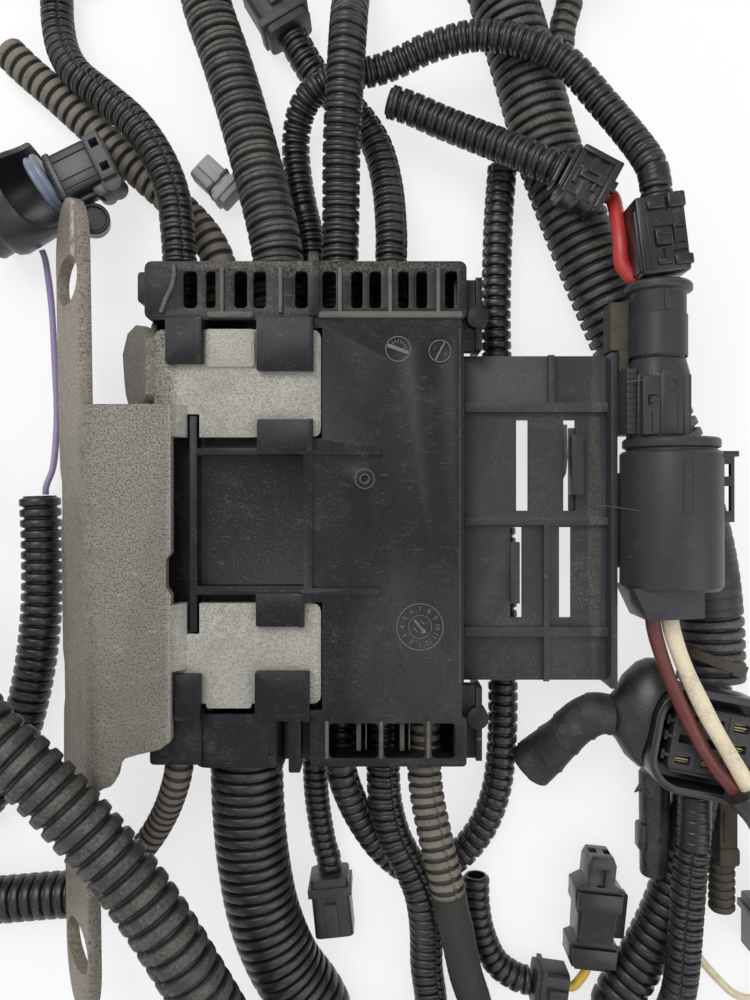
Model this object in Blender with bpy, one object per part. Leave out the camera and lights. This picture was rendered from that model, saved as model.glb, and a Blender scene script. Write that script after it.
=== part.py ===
# Wiring harness section: a plastic cable duct on a formed steel bracket, with its branches and plugs.
# The duct's floor lies on z = 0, +Y runs along the duct and +X points to the connector holder.
import bpy
import bmesh
from math import cos, sin, pi, radians
from mathutils import Vector, Matrix

mm = 0.001

# Driving sizes of the duct
duct_left = -83 * mm
duct_right = 33 * mm
duct_top = 86 * mm
duct_bottom = -96 * mm
wall = 2.2 * mm
floor_thickness = 2.2 * mm
split_height = 22 * mm
shelf_height = 36 * mm
cover_height = 45 * mm
chamber_depth = 20 * mm
bottom_chamber_depth = 17 * mm
panel_left = -23.4 * mm
panel_right = 31.3 * mm
seat_gap = 0.3 * mm
keeper_depth = 4 * mm
keeper_height = 6 * mm
keeper_centres = (-68 * mm, -50 * mm, -4 * mm, 14 * mm)

# Driving sizes of the cover: the low left foot, the collar of the big branch and the window rows
foot_right = -63 * mm
foot_drop = 2 * mm
foot_inset = 1.4 * mm
collar_left = -65.6 * mm
collar_right = -33.6 * mm
collar_drop = 3.4 * mm
collar_wall = 5.5 * mm
collar_roof = 3.2 * mm
link_left = -34.5 * mm
top_window_reach = 17 * mm
top_window_edge = 3.6 * mm
top_windows = ((-69 * mm, -64 * mm), (-60.8 * mm, -57.4 * mm), (-50.7 * mm, -46 * mm),
               (-43.8 * mm, -39.2 * mm), (-28.8 * mm, -24.2 * mm), (-19 * mm, -14 * mm),
               (-8.6 * mm, -4.4 * mm), (-2 * mm, 2.2 * mm), (8.3 * mm, 12.2 * mm),
               (14.8 * mm, 18.8 * mm), (25.2 * mm, 29.6 * mm))
low_window_edge = 3 * mm
low_window_reach = 15.6 * mm
low_windows = ((-16.6 * mm, 1.2 * mm), (3.2 * mm, 18 * mm), (20.4 * mm, 29 * mm))
collar_window_reach = 13.2 * mm
collar_windows = ((-62.6 * mm, -56.2 * mm), (-38.9 * mm, -36 * mm))

# Driving sizes of the cover's ribs: low and high corner in plan, and the height of each over the cover
well_left = -66.9 * mm
well_right = -22.4 * mm
left_rib = (-64.4 * mm, -47.7 * mm, 30.3 * mm, -1 * mm)
right_rib = (-25.6 * mm, -36.8 * mm, 22.2 * mm, 1.6 * mm)
well_ribs = ((16.2 * mm, 18.8 * mm), (-34.2 * mm, -31.2 * mm))
well_rib_drop = 1.4 * mm
shelf_rib_left = -26.4 * mm
shelf_rib_right = 1.8 * mm
shelf_ribs = ((16.2 * mm, 18.2 * mm), (-33.8 * mm, -31.6 * mm))
shelf_rib_rise = 1.8 * mm

# Driving sizes of the clip tabs over the tongues: span along X, span along Y and the side of the wall
tab_gap = 0.5 * mm
tab_thickness = 2.6 * mm
tab_wall = 3 * mm
tab_lip = 2.2 * mm
tab_lip_rise = 1.2 * mm
clip_tabs = (
    (-75 * mm, -61.8 * mm, 48.8 * mm, 65.2 * mm, 1),
    (-42.4 * mm, -22.1 * mm, 46.3 * mm, 65.2 * mm, 1),
    (-42.2 * mm, -22.2 * mm, 16.4 * mm, 28.9 * mm, -1),
    (-42.6 * mm, -25.3 * mm, -45.3 * mm, -33.4 * mm, 1),
    (-71.8 * mm, -62.4 * mm, -79 * mm, -62.4 * mm, -1),
    (-43 * mm, -23.4 * mm, -79 * mm, -61.4 * mm, -1))
pedestal_centres = (-52 * mm, -34 * mm)
pedestal_half = 3 * mm

# Driving sizes of the latches, the ring boss, the date inserts and the dial
end_latch_reach = 6 * mm
end_latch_post = 2.2 * mm
end_latches = ((-31.2 * mm, -5 * mm, -19.6 * mm), (1 * mm, 27.8 * mm, 16.6 * mm))
end_latch_drop = 3.4 * mm
latch_pin = 4 * mm
latch_pin_inset = 1.6 * mm
latch_pin_drop = 2.6 * mm
top_latch = (-23.8 * mm, -20.2 * mm)
top_latch_rise = 2 * mm
foot_latch = (-31.2 * mm, -26.8 * mm)
foot_latch_drop = 0.6 * mm
left_latch_reach = 3 * mm
ring_centre = (-3.7 * mm, 7.6 * mm)
ring_radius = 4.3 * mm
ring_bore = 1.3 * mm
ring_rise = 0.8 * mm
ring_bore_depth = 1.4 * mm
insert_radius = 4.7 * mm
inserts = ((8.3 * mm, 54.4 * mm, 0.6 * mm), (23.4 * mm, 53.6 * mm, 0.4 * mm))
dial_centre = (16.2 * mm, -45.7 * mm)
dial_radius = 8.6 * mm
dial_depth = 0.4 * mm

# Driving sizes of the connector holder
holder_height = 30 * mm
holder_thickness = 2.2 * mm
holder_right = 86.5 * mm
holder_top = 54 * mm
holder_bottom = -67.5 * mm
holder_flange = 2.3 * mm
holder_flange_top = 40 * mm
holder_flange_bottom = 22 * mm
holder_rib = 2.8 * mm
slot_width = 4.6 * mm
slot_length = 34 * mm
slot_centres = ((55.3 * mm, 13 * mm), (73 * mm, 13 * mm), (53 * mm, -27.2 * mm), (71.4 * mm, -27.2 * mm))
holder_ribs = ((34.5 * mm, 3.6 * mm), (-7.9 * mm, 2.8 * mm), (-49 * mm, 3.6 * mm))
upper_web = (64.6 * mm, 66.8 * mm)
lower_web = (62.8 * mm, 64.8 * mm)
flange_tail = 1.6 * mm
bent_tongues = ((73 * mm, 77.2 * mm, 2 * mm, 24 * mm, 1.6 * mm),
                (50.6 * mm, 54 * mm, -38.6 * mm, -15.8 * mm, -0.6 * mm))

# Driving sizes of the bracket
sheet = 4.5 * mm
plate_height = 50 * mm
plate_right = -72.4 * mm
plate_top = 34 * mm
plate_bottom = -85.5 * mm
bend_centre_x = -100 * mm
bend_inner = 2 * mm
flange_lean = 34
flange_depth = 30.5 * mm
ear_depth = 32 * mm
ear_hole = 18 * mm
ear_hole_length = 29 * mm
ear_top_end = 112.6 * mm
ear_bottom_end = -190.5 * mm
ear_round = 21 * mm
top_hole_y = 82 * mm
bottom_hole_y = -166 * mm
tongue_height = 44.2 * mm
tongue_end = -19.5 * mm
upper_tongue = (22.7 * mm, 61.5 * mm)
lower_tongue = (-73.5 * mm, -37.3 * mm)
upper_pad = (-61 * mm, -43.4 * mm, 48 * mm, 61.5 * mm)
lower_pad = (-61 * mm, -44.6 * mm, -75.2 * mm, -70 * mm)
pad_rise = 1.1 * mm
joggle_length = 4.6 * mm
ear_root_top = 45 * mm
ear_root_bottom = -100 * mm
flange_root_top = 33 * mm
flange_notches = ((12 * mm, -11 * mm, 2.4 * mm), (-58 * mm, -81 * mm, 2 * mm))
notch_slope = 5 * mm
flange_skew = 0.016
plate_notch = (-18.8 * mm, -33.4 * mm, 1.7 * mm)
bend_bottom = -103 * mm
tongue_holes = ((22 * mm, 31 * mm), (-48.4 * mm, -36.8 * mm))
tongue_hole_span = (-68 * mm, -63.4 * mm)
rear_tab_thickness = 4 * mm
rear_tab_place = (-83.8 * mm, 43.9 * mm)

# Driving sizes of the round connector
barrel_x = 107.2 * mm
barrel_z = 43 * mm
barrel_radius = 18 * mm
barrel_top = 17.5 * mm
barrel_length = 49.5 * mm
barrel_wall = 3.6 * mm
barrel_floor = 1.6 * mm
barrel_cavity = 11.5 * mm
collar_rise = 4.6 * mm
cup_left = 17 * mm
cup_left_end = 11.6 * mm
cup_right = 8 * mm
cup_length = 10.4 * mm
cup_half_height = 11 * mm
cup_wall = 1.6 * mm
fin_reach = 4.6 * mm
fin_length = 25.5 * mm
socket_x = 102.6 * mm
socket_radius = 9.8 * mm
socket_length = 27.5 * mm
socket_wall = 1.3 * mm
socket_mouth_depth = 14 * mm
plug_radius = 11.2 * mm
plug_length = 28 * mm

# Driving sizes of the boot connector behind the top ear
boot_radius = 18 * mm
boot_length = 34 * mm
boot_wall = 2.2 * mm
boot_cavity = 22 * mm
boot_turn = 31
boot_mouth_x = -126.3 * mm
boot_mouth_y = 125 * mm
boot_scallop_radius = 16 * mm
boot_scallop_rise = 17 * mm
seal_radius = 11.8 * mm
seal_length = 5.4 * mm
boot_plug_length = 21 * mm
boot_plug_width = 19.5 * mm
boot_plug_height = 14 * mm
boot_plug_rise = 1.6 * mm

# Driving sizes of the oval connector
oval_x = 124 * mm
oval_y = -90 * mm
oval_half_x = 23 * mm
oval_half_y = 19.5 * mm
oval_corner = 13 * mm
oval_turn = -11
oval_low = 27.4 * mm
oval_high = 42 * mm
oval_wall = 2.8 * mm
core_half_x = 15 * mm
core_half_y = 12.5 * mm
core_drop = 3 * mm
pocket_step_x = 9.6 * mm
pocket_step_y = 7.6 * mm
pocket_half_x = 2.9 * mm
pocket_half_y = 1.6 * mm
pocket_depth = 6 * mm
oval_boot_left = 90.6 * mm
oval_boot_y = -82 * mm
oval_boot_z = 25.6 * mm
oval_boot_squash = 0.62

# Driving sizes of the two-wire plug: half widths of its nose, shoulders, body and rim, and their stations
small_plug_place = (88.3 * mm, -163.6 * mm, 8.8 * mm)
small_plug_turn = 84
small_plug_height = 16 * mm
small_plug_front = 23 * mm
nose_half = 5.6 * mm
nose_drop = 2 * mm
shoulder_front = 11 * mm
shoulder_half = 9.8 * mm
shoulder_back = 1 * mm
small_body_half = 7.8 * mm
rim_front = -12 * mm
rim_half = 9.8 * mm
rim_back = -23 * mm
side_latch_reach = 4.7 * mm

# Driving sizes of the wire bundle in the duct
loom_left = -66 * mm
loom_right = 22 * mm
loom_bottom = -72 * mm
loom_top = 60 * mm
loom_height = 15 * mm
loom_corner = 5 * mm
loom_edge = 2.4 * mm

# Clamps by name: centre, length, width, height, turn and bore
clamps = {
    "clamp_arch": ((102.5 * mm, 99.5 * mm, 46 * mm), 27 * mm, 19 * mm, 15 * mm, -83, 6.2 * mm),
    "clamp_side": ((77.8 * mm, 117.6 * mm, 35.1 * mm), 17 * mm, 17 * mm, 15 * mm, -28, 6.8 * mm),
}

# Plugs that lie within the view, by name: centre, size along its own X, turn and ways
plugs = {
    "end_cap": ((70.2 * mm, -196 * mm, 7.6 * mm), (13 * mm, 15 * mm, 14 * mm), -8, 1),
    "thin_plug": ((-17.2 * mm, -161.6 * mm, 8.2 * mm), (23 * mm, 15.4 * mm, 15 * mm), 276, 1),
    "grey_plug": ((-64 * mm, 128.9 * mm, 6 * mm), (18 * mm, 11 * mm, 11 * mm), 137, 2),
    "box_plug": ((-39.6 * mm, 197.3 * mm, 9.2 * mm), (22 * mm, 19 * mm, 17 * mm), 121, 3),
}

# Plugs just past the ends of the branches, by name: the end's place in plan, height, width, turn and ways
end_plug_depth = 20 * mm
end_plug_floor = 0.4 * mm
end_plugs = {
    "plug_top_1": (-129.1 * mm, 211.3 * mm, 15 * mm, 19 * mm, 90, 2),
    "plug_top_3": (-68.5 * mm, 211.3 * mm, 21 * mm, 25 * mm, 90, 3),
    "plug_top_4": (-8.6 * mm, 220.3 * mm, 16 * mm, 21 * mm, 90, 2),
    "plug_trunk": (63 * mm, 211.3 * mm, 26.6 * mm, 52 * mm, 90, 6),
    "plug_left_pair": (-166.4 * mm, -143.4 * mm, 19 * mm, 56 * mm, 180, 6),
    "plug_crossing_left": (-177 * mm, 2.3 * mm, 23 * mm, 26 * mm, 90, 3),
    "plug_crossing_front": (-49.4 * mm, -236.3 * mm, 23 * mm, 26 * mm, 270, 3),
    "plug_big": (-22.5 * mm, -212.3 * mm, 28.6 * mm, 29 * mm, 270, 4),
    "plug_bottom": (32 * mm, -213.3 * mm, 21 * mm, 40 * mm, 270, 5),
    "plug_pair": (105 * mm, -213.3 * mm, 20 * mm, 44 * mm, 270, 5),
    "plug_sleeve": (158.4 * mm, -161.3 * mm, 17 * mm, 16 * mm, 270, 2),
}

# Outer diameters of the conduits and wires
conduit_size = {
    "conduit_top_1": 13 * mm,
    "conduit_top_2": 13.5 * mm,
    "conduit_top_3": 20 * mm,
    "conduit_top_4": 14.5 * mm,
    "conduit_top_5": 12.5 * mm,
    "conduit_arch": 11.4 * mm,
    "conduit_side": 12.6 * mm,
    "conduit_trunk": 26 * mm,
    "conduit_loop": 12 * mm,
    "conduit_thin_top": 11 * mm,
    "conduit_big": 28 * mm,
    "conduit_small_left": 11 * mm,
    "conduit_low_left": 18 * mm,
    "conduit_thin": 10 * mm,
    "conduit_bottom_1": 13.2 * mm,
    "conduit_bottom_2": 13.2 * mm,
    "conduit_bottom_3": 11 * mm,
    "conduit_crossing": 22 * mm,
    "conduit_left": 16 * mm,
    "conduit_pair_1": 19 * mm,
    "conduit_pair_2": 13 * mm,
    "branch_taped": 17 * mm,
    "wire_red": 4 * mm,
    "wire_cream": 6 * mm,
    "wire_brown": 5.2 * mm,
    "wire_purple": 2 * mm,
    "wire_pair": 3.6 * mm,
    "wire_thin": 3.2 * mm,
    "wire_sleeve": 11.6 * mm,
}

# Routes in millimetres, each from its exit to its far end
routes = {
    "conduit_top_1": [(-74, 72, 29), (-74, 88, 29), (-74.9, 102.4, 29), (-76.9, 116.1, 28),
                      (-82.9, 131, 25), (-93, 146, 21), (-105.9, 158.3, 17), (-117.7, 168.3, 15),
                      (-124.8, 179.5, 10.6), (-128.4, 192, 7.2), (-129.1, 203, 6.8), (-129.1, 211, 6.8)],
    "conduit_top_2": [(-61.5, 72, 12), (-61.5, 88, 12), (-62.5, 95.1, 11.6), (-67.7, 105.5, 9.5),
                      (-75.8, 115.2, 7.2), (-87.2, 125.8, 7), (-101, 138, 7), (-114.8, 150.9, 7),
                      (-128.6, 163.5, 7), (-140, 173.3, 7), (-148.9, 181.8, 7)],
    "conduit_top_3": [(-37.6, 72, 22), (-37.6, 92.3, 22), (-40.1, 107, 21), (-46, 129.7, 17.5),
                      (-52.5, 153, 14), (-59.6, 175.9, 11.5), (-66, 194, 10.4), (-68.5, 204, 10.4),
                      (-68.5, 211, 10.4)],
    "conduit_top_4": [(-13.5, 72, 24), (-13.5, 91.7, 24), (-13.1, 109.8, 25), (-12.7, 131.2, 29),
                      (-11.7, 150, 33), (-10.4, 171, 33.4), (-9.7, 185, 29), (-9.2, 196, 20),
                      (-8.9, 204, 13), (-8.6, 212, 8.2), (-8.6, 220, 8.2)],
    "conduit_top_5": [(6.2, 72, 22), (6.2, 92.3, 22), (6.3, 105.7, 19), (4.8, 125.9, 12),
                      (0.4, 143.8, 7.5), (-8.5, 157.2, 6.6), (-18.5, 165.5, 6.6), (-26.3, 174.9, 7.4),
                      (-33.6, 187.2, 8.4)],
    "conduit_arch": [(-25.3, 72, 10), (-25.3, 95.7, 10), (-26.4, 107.2, 8), (-29.3, 120, 6.2),
                     (-31.6, 134.3, 6.4), (-31.8, 146, 9), (-28.6, 155.5, 14.6), (-21.5, 161.8, 19.4),
                     (-10, 165.4, 19.8), (2, 168, 19.8), (11, 171, 21), (22, 174.6, 24),
                     (39, 176.2, 29), (56.2, 171.5, 33), (71.2, 164, 33.4), (84.7, 147.8, 35),
                     (94.2, 132.5, 40), (98.6, 121.5, 45.4), (100.3, 115.5, 46), (100.55, 113.3, 46)],
    "conduit_side": [(5.2, 155.4, 20.4), (14, 152.4, 20.6), (25.5, 146.6, 22), (38.8, 139.6, 25.5),
                     (52, 132, 30.5), (61.6, 126.4, 34), (66.4, 123.7, 35.1), (69.9, 121.85, 35.1)],
    "conduit_trunk": [(49.5, 211, 13.3), (49.5, 203, 13.3), (53.9, 191, 13.3), (60.9, 167.2, 13.3),
                      (68.9, 139.4, 13.3), (78.4, 113.5, 13.3), (88.8, 87.6, 13.3), (99.9, 61.7, 13.3),
                      (109.5, 39.8, 13.3), (117.5, 22, 13.3), (124.6, 0, 13.3), (130.2, -23.9, 13.3),
                      (133, -47.8, 13.3), (133.8, -71.7, 13.3)],
    "conduit_loop": [(51.8, 136, 6.4), (50, 109.8, 6.3), (49.2, 73.2, 6.3), (50, 40.7, 6.3),
                     (50.8, 0, 6.3), (51.6, -40.7, 6.3), (52, -73.2, 6.3), (51.6, -97.6, 6.3),
                     (49.2, -117.9, 6.3), (42.7, -134.2, 6.3), (31.3, -146.4, 6.3), (17.5, -151.3, 6.3),
                     (4.5, -142.6, 7.5), (-5.2, -127.5, 13), (-11.3, -111.6, 20), (-13.2, -101.6, 22),
                     (-13.2, -84, 22)],
    "conduit_thin_top": [(75.2, 176, 5.8), (76.2, 191.4, 5.8), (78.6, 200, 5.8), (79.4, 205.4, 5.8),
                         (79.4, 211, 5.8)],
    "conduit_big": [(-49.6, -84, 22), (-49.6, -101.6, 22), (-49, -120.6, 21.5), (-47, -140.9, 21),
                    (-43, -161.4, 20.5), (-35.6, -181, 18.5), (-26, -196.5, 15.4),
                    (-22.5, -205, 14.3), (-22.5, -212, 14.3)],
    "conduit_small_left": [(-74.6, -84, 26), (-75, -101, 25.4), (-78.6, -113.5, 20), (-84.6, -126.5, 12),
                           (-92.4, -139, 6.6), (-101.3, -148.6, 6.4), (-110, -154.4, 7.6)],
    "conduit_low_left": [(-117.9, -158.4, 9.3), (-131, -159.2, 9.3), (-147.1, -160.6, 9.3),
                         (-158, -161.4, 9.3), (-166.1, -161.4, 9.3)],
    "conduit_thin": [(-24.1, -84, 10), (-24.1, -105.4, 10), (-23.4, -121.7, 7), (-20.8, -138.5, 6.2),
                     (-18.9, -144.6, 6.4), (-18.4, -149.6, 6.4)],
    "conduit_bottom_1": [(3.1, -84, 22), (3.1, -101.6, 22), (3.9, -116.3, 22), (7.4, -130.3, 21.3),
                         (12.9, -141.2, 21), (17.4, -151.7, 20.4), (19.4, -162, 17.5),
                         (20.4, -174, 12.5), (20.8, -188, 8.5), (22.4, -200, 7), (22.8, -206.5, 7),
                         (22.8, -213, 7)],
    "conduit_bottom_2": [(18.8, -84, 25), (18.8, -100.6, 25), (19.9, -113.1, 26), (23, -128.3, 28),
                         (26.9, -144.4, 29.5), (29, -155, 28.5), (31.5, -166, 25.5), (35.3, -184.5, 19.5),
                         (39.3, -198, 14.6), (41, -206.5, 12.4), (41, -213, 12.4)],
    "conduit_bottom_3": [(41.1, -152.6, 5.8), (41.3, -164, 5.8), (43.5, -176, 5.8), (49.2, -188, 5.8),
                         (58.6, -194.4, 6), (63, -195, 6)],
    "conduit_crossing": [(-177, 2, 11.4), (-177, -6, 11.4), (-175.6, -20, 15), (-170.5, -36, 26),
                         (-160, -51, 42), (-146.5, -65, 56), (-132, -78.6, 62), (-117, -92, 62.5),
                         (-104.8, -104.5, 62.5), (-93.3, -117.4, 62.5), (-80.8, -132.6, 62.5),
                         (-69.4, -150, 62), (-58.8, -170.2, 59), (-53, -186, 52), (-50.4, -199, 41),
                         (-49.6, -210, 29), (-49.4, -220, 18), (-49.4, -229, 11.4), (-49.4, -236, 11.4)],
    "conduit_left": [(-135.4, 1.6, 8.3), (-134.6, -18.2, 8.3), (-134.6, -40.4, 8.3), (-136.6, -62.7, 8.3),
                     (-140.2, -82, 8.3), (-145, -99, 8.3), (-151, -113, 8.3), (-159.4, -122.8, 8.3),
                     (-166.1, -122.8, 8.3)],
    "conduit_pair_1": [(133.4, -73, 10.2), (132.4, -92, 9.8), (130, -110, 9.8), (127.6, -125, 9.8),
                       (125, -139.2, 9.8), (121.1, -152.9, 9.8), (114, -171, 9.8), (104.8, -188.4, 9.8),
                       (97.2, -200.4, 9.8), (95.4, -207.4, 9.8), (95.4, -213, 9.8)],
    "conduit_pair_2": [(122.1, -112.4, 26.6), (121.6, -129.4, 26.6), (120.3, -141.7, 26.6),
                       (118.9, -159.7, 26.6), (117.4, -178.9, 26.6), (116.8, -190, 24), (117.4, -199, 17.4),
                       (118.4, -206.8, 10.6), (118.4, -213, 10.6)],
    "branch_taped": [(62.6, -107, 9.6), (67, -101.6, 12.4), (72.4, -94.4, 17.4), (79, -85.4, 23.4),
                     (84.4, -82, 25.6), (90.2, -82, 25.6)],
    "wire_red": [(86, 113.2, 35.1), (88.4, 111.9, 35.3), (89.2, 103, 38.5), (89.4, 94, 41),
                 (90.2, 86, 41), (93.8, 81.2, 41.4), (97.4, 79, 42), (99.8, 75.5, 43), (100, 69, 43)],
    "wire_cream": [(106.4, -21.2, 43), (106.4, -39, 43), (107.8, -49, 44), (112.2, -63, 46.6),
                   (118.7, -78, 49.6), (126.2, -92, 51.8), (130.9, -99.4, 52.2)],
    "wire_brown": [(100.4, -21.2, 42.8), (100.4, -39, 42.8), (101.5, -49, 43.4), (105.7, -63.6, 45.4),
                   (112.2, -79.2, 47), (120.3, -94, 47.8), (125.4, -101.4, 48.2)],
    "wire_purple": [(-135, 101.4, 7.3), (-134, 96, 5.4), (-132.7, 80, 3.2), (-131.8, 60, 2.4),
                    (-130.8, 35, 2.4), (-131.2, 15, 4.6), (-133.4, 6, 6.5), (-133.8, 2.2, 6.5)],
    "wire_pair": [(73.2, -196.42, 7.2), (77.2, -196.98, 7.2), (80.4, -197, 7.2), (83.4, -193.6, 7.4),
                  (85.3, -190, 8), (85.8, -187, 8.2)],
    "wire_thin": [(128.5, -182, 2.2), (134, -189, 2), (141, -197, 2), (148.5, -203.6, 2),
                  (156, -204, 3), (159.4, -194, 6), (158.4, -186, 8), (158.4, -181.9, 8)],
    "wire_sleeve": [(131, -104.8, 51), (137.5, -112.5, 48.8), (145, -123.5, 41.4), (151.5, -136.5, 30),
                    (156.4, -147.5, 17), (158.4, -156, 8.8), (158.4, -161, 8.8)],
}

# Conduits that pass through the duct's end walls, with the exit that each one takes
top_exits = ["conduit_top_1", "conduit_top_2", "conduit_top_3", "conduit_top_4", "conduit_top_5",
             "conduit_arch"]
bottom_exits = ["conduit_big", "conduit_small_left", "conduit_thin", "conduit_bottom_1",
                "conduit_bottom_2"]
loop_return = ["conduit_loop"]


def clear_scene():
    for item in list(bpy.data.objects):
        bpy.data.objects.remove(item, do_unlink=True)


def make_material(name, colour, roughness, metallic=0.0):
    material = bpy.data.materials.new(name)
    material.use_nodes = True
    shader = material.node_tree.nodes["Principled BSDF"]
    shader.inputs["Base Color"].default_value = (*colour, 1.0)
    shader.inputs["Roughness"].default_value = roughness
    shader.inputs["Metallic"].default_value = metallic
    material.diffuse_color = (*colour, 1.0)
    return material


def place(name, bm, material=None):
    bmesh.ops.recalc_face_normals(bm, faces=bm.faces)
    mesh = bpy.data.meshes.new(name)
    bm.to_mesh(mesh)
    bm.free()
    item = bpy.data.objects.new(name, mesh)
    bpy.context.scene.collection.objects.link(item)
    if material:
        mesh.materials.append(material)
    return item


def smooth(item, angle=35):
    item.data.shade_smooth()
    item.data.set_sharp_from_angle(angle=radians(angle))
    return item


def box(low, high, corner=0.0, axis="z"):
    """A box from its two corners, with its four edges along one axis rounded."""
    bm = bmesh.new()
    bmesh.ops.create_cube(bm, size=1.0)
    size = [high[i] - low[i] for i in range(3)]
    centre = [(high[i] + low[i]) / 2 for i in range(3)]
    bmesh.ops.scale(bm, vec=size, verts=bm.verts)
    bmesh.ops.translate(bm, vec=centre, verts=bm.verts)
    if corner:
        along = "xyz".index(axis)
        edges = []
        for edge in bm.edges:
            direction = (edge.verts[1].co - edge.verts[0].co).normalized()
            if abs(direction[along]) > 0.99:
                edges.append(edge)
        bmesh.ops.bevel(bm, geom=edges, offset=corner, segments=3, profile=0.5, affect="EDGES")
    return bm


def rod(start, end, radius, sides=20, end_radius=None):
    """A straight round bar between two points, or a cone where the radii differ."""
    start = Vector(start)
    end = Vector(end)
    length = (end - start).length
    bm = bmesh.new()
    far = radius if end_radius is None else end_radius
    bmesh.ops.create_cone(bm, cap_ends=True, segments=sides, radius1=radius, radius2=far, depth=length)
    turn = (end - start).to_track_quat("Z", "Y").to_matrix().to_4x4()
    bmesh.ops.transform(bm, matrix=Matrix.Translation((start + end) / 2) @ turn, verts=bm.verts)
    return bm


def prism(outline, low, high, axis="z"):
    """An outline in the plane across one axis, drawn out along that axis."""
    bm = bmesh.new()
    corners = []
    for a, b in outline:
        if axis == "z":
            corners.append(bm.verts.new((a, b, low)))
        elif axis == "y":
            corners.append(bm.verts.new((a, low, b)))
        else:
            corners.append(bm.verts.new((low, a, b)))
    face = bm.faces.new(corners)
    drawn = bmesh.ops.extrude_face_region(bm, geom=[face])
    moved = [part for part in drawn["geom"] if isinstance(part, bmesh.types.BMVert)]
    step = Vector((0, 0, 0))
    step["xyz".index(axis)] = high - low
    bmesh.ops.translate(bm, vec=step, verts=moved)
    return bm


def turned(profile, sides=24):
    """A solid turned about its own Z axis from (radius, height) points that start and end on the axis."""
    bm = bmesh.new()
    points = [bm.verts.new((radius, 0, height)) for radius, height in profile]
    edges = [bm.edges.new((points[i], points[i + 1])) for i in range(len(points) - 1)]
    bmesh.ops.spin(bm, geom=points + edges, cent=(0, 0, 0), axis=(0, 0, 1), angle=2 * pi,
                   steps=sides, use_merge=True)
    bmesh.ops.remove_doubles(bm, verts=bm.verts, dist=0.00002)
    return bm


def aim(bm, origin, direction, up="X"):
    """Turns a body modelled along +Z so that it points along a direction from an origin."""
    turn = Vector(direction).to_track_quat("Z", up).to_matrix().to_4x4()
    bmesh.ops.transform(bm, matrix=Matrix.Translation(Vector(origin)) @ turn, verts=bm.verts)
    return bm


def helper_group(name, bodies):
    group = bpy.data.collections.new(name)
    bpy.context.scene.collection.children.link(group)
    for number, bm in enumerate(bodies):
        helper = place(name + "_" + str(number), bm)
        bpy.context.scene.collection.objects.unlink(helper)
        group.objects.link(helper)
        helper.hide_render = True
        helper.display_type = "WIRE"
    return group


def carve(item, operation, bodies):
    if not bodies:
        return
    change = item.modifiers.new(operation.lower() + str(len(item.modifiers)), "BOOLEAN")
    change.operation = operation
    change.solver = "EXACT"
    change.operand_type = "COLLECTION"
    change.collection = helper_group(item.name + "_" + str(len(item.modifiers)), bodies)


def build_piece(name, material, first, *stages):
    """A piece whose first body is added to and cut in turn, stage by stage."""
    item = place(name, first, material)
    for number, bodies in enumerate(stages):
        carve(item, "DIFFERENCE" if number % 2 else "UNION", list(bodies))
    return item


def smooth_route(points, spacing):
    """Evenly spaced points on a Catmull-Rom curve through the chosen ones."""
    ends = [points[0] * 2 - points[1]] + list(points) + [points[-1] * 2 - points[-2]]
    fine = []
    for i in range(1, len(ends) - 2):
        for step in range(12):
            t = step / 12
            a = ends[i] * 2
            b = (ends[i + 1] - ends[i - 1]) * t
            c = (ends[i - 1] * 2 - ends[i] * 5 + ends[i + 1] * 4 - ends[i + 2]) * t * t
            d = (ends[i] * 3 - ends[i - 1] - ends[i + 1] * 3 + ends[i + 2]) * t * t * t
            fine.append((a + b + c + d) / 2)
    fine.append(points[-1])
    reach = [0.0]
    for i in range(1, len(fine)):
        reach.append(reach[-1] + (fine[i] - fine[i - 1]).length)
    count = max(3, round(reach[-1] / spacing) + 1)
    route = []
    j = 0
    for k in range(count):
        goal = reach[-1] * k / (count - 1)
        while j < len(reach) - 2 and reach[j + 1] < goal:
            j += 1
        share = (goal - reach[j]) / max(reach[j + 1] - reach[j], 1e-9)
        route.append(fine[j].lerp(fine[j + 1], share))
    return route


def make_cord(name, material):
    size = conduit_size[name]
    chosen = [Vector(point) * mm for point in routes[name]]
    spacing = min(max(size * 1.4, 7 * mm), 20 * mm)
    route = smooth_route(chosen, spacing)
    lead = max(size * 0.4, 3 * mm)
    route.insert(1, route[0] + (chosen[1] - chosen[0]).normalized() * lead)
    route.insert(-1, route[-1] + (chosen[-2] - chosen[-1]).normalized() * lead)
    curve = bpy.data.curves.new(name, "CURVE")
    curve.dimensions = "3D"
    curve.bevel_depth = size / 2
    curve.bevel_resolution = 2
    curve.use_fill_caps = True
    spline = curve.splines.new("POLY")
    spline.points.add(len(route) - 1)
    for point, where in zip(spline.points, route):
        point.co = (*where, 1.0)
    curve.materials.append(material)
    item = bpy.data.objects.new(name, curve)
    bpy.context.scene.collection.objects.link(item)
    return item


def exit_cutters(names, low, high):
    """Round holes along Y where the named conduits pass through an end wall."""
    cutters = []
    for name in names:
        across, along, up = routes[name][-1] if name in loop_return else routes[name][0]
        radius = (conduit_size[name] / 2 + seat_gap) / cos(pi / 16)
        cutters.append(rod((across * mm, low, up * mm), (across * mm, high, up * mm), radius, 16))
    return cutters


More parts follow.
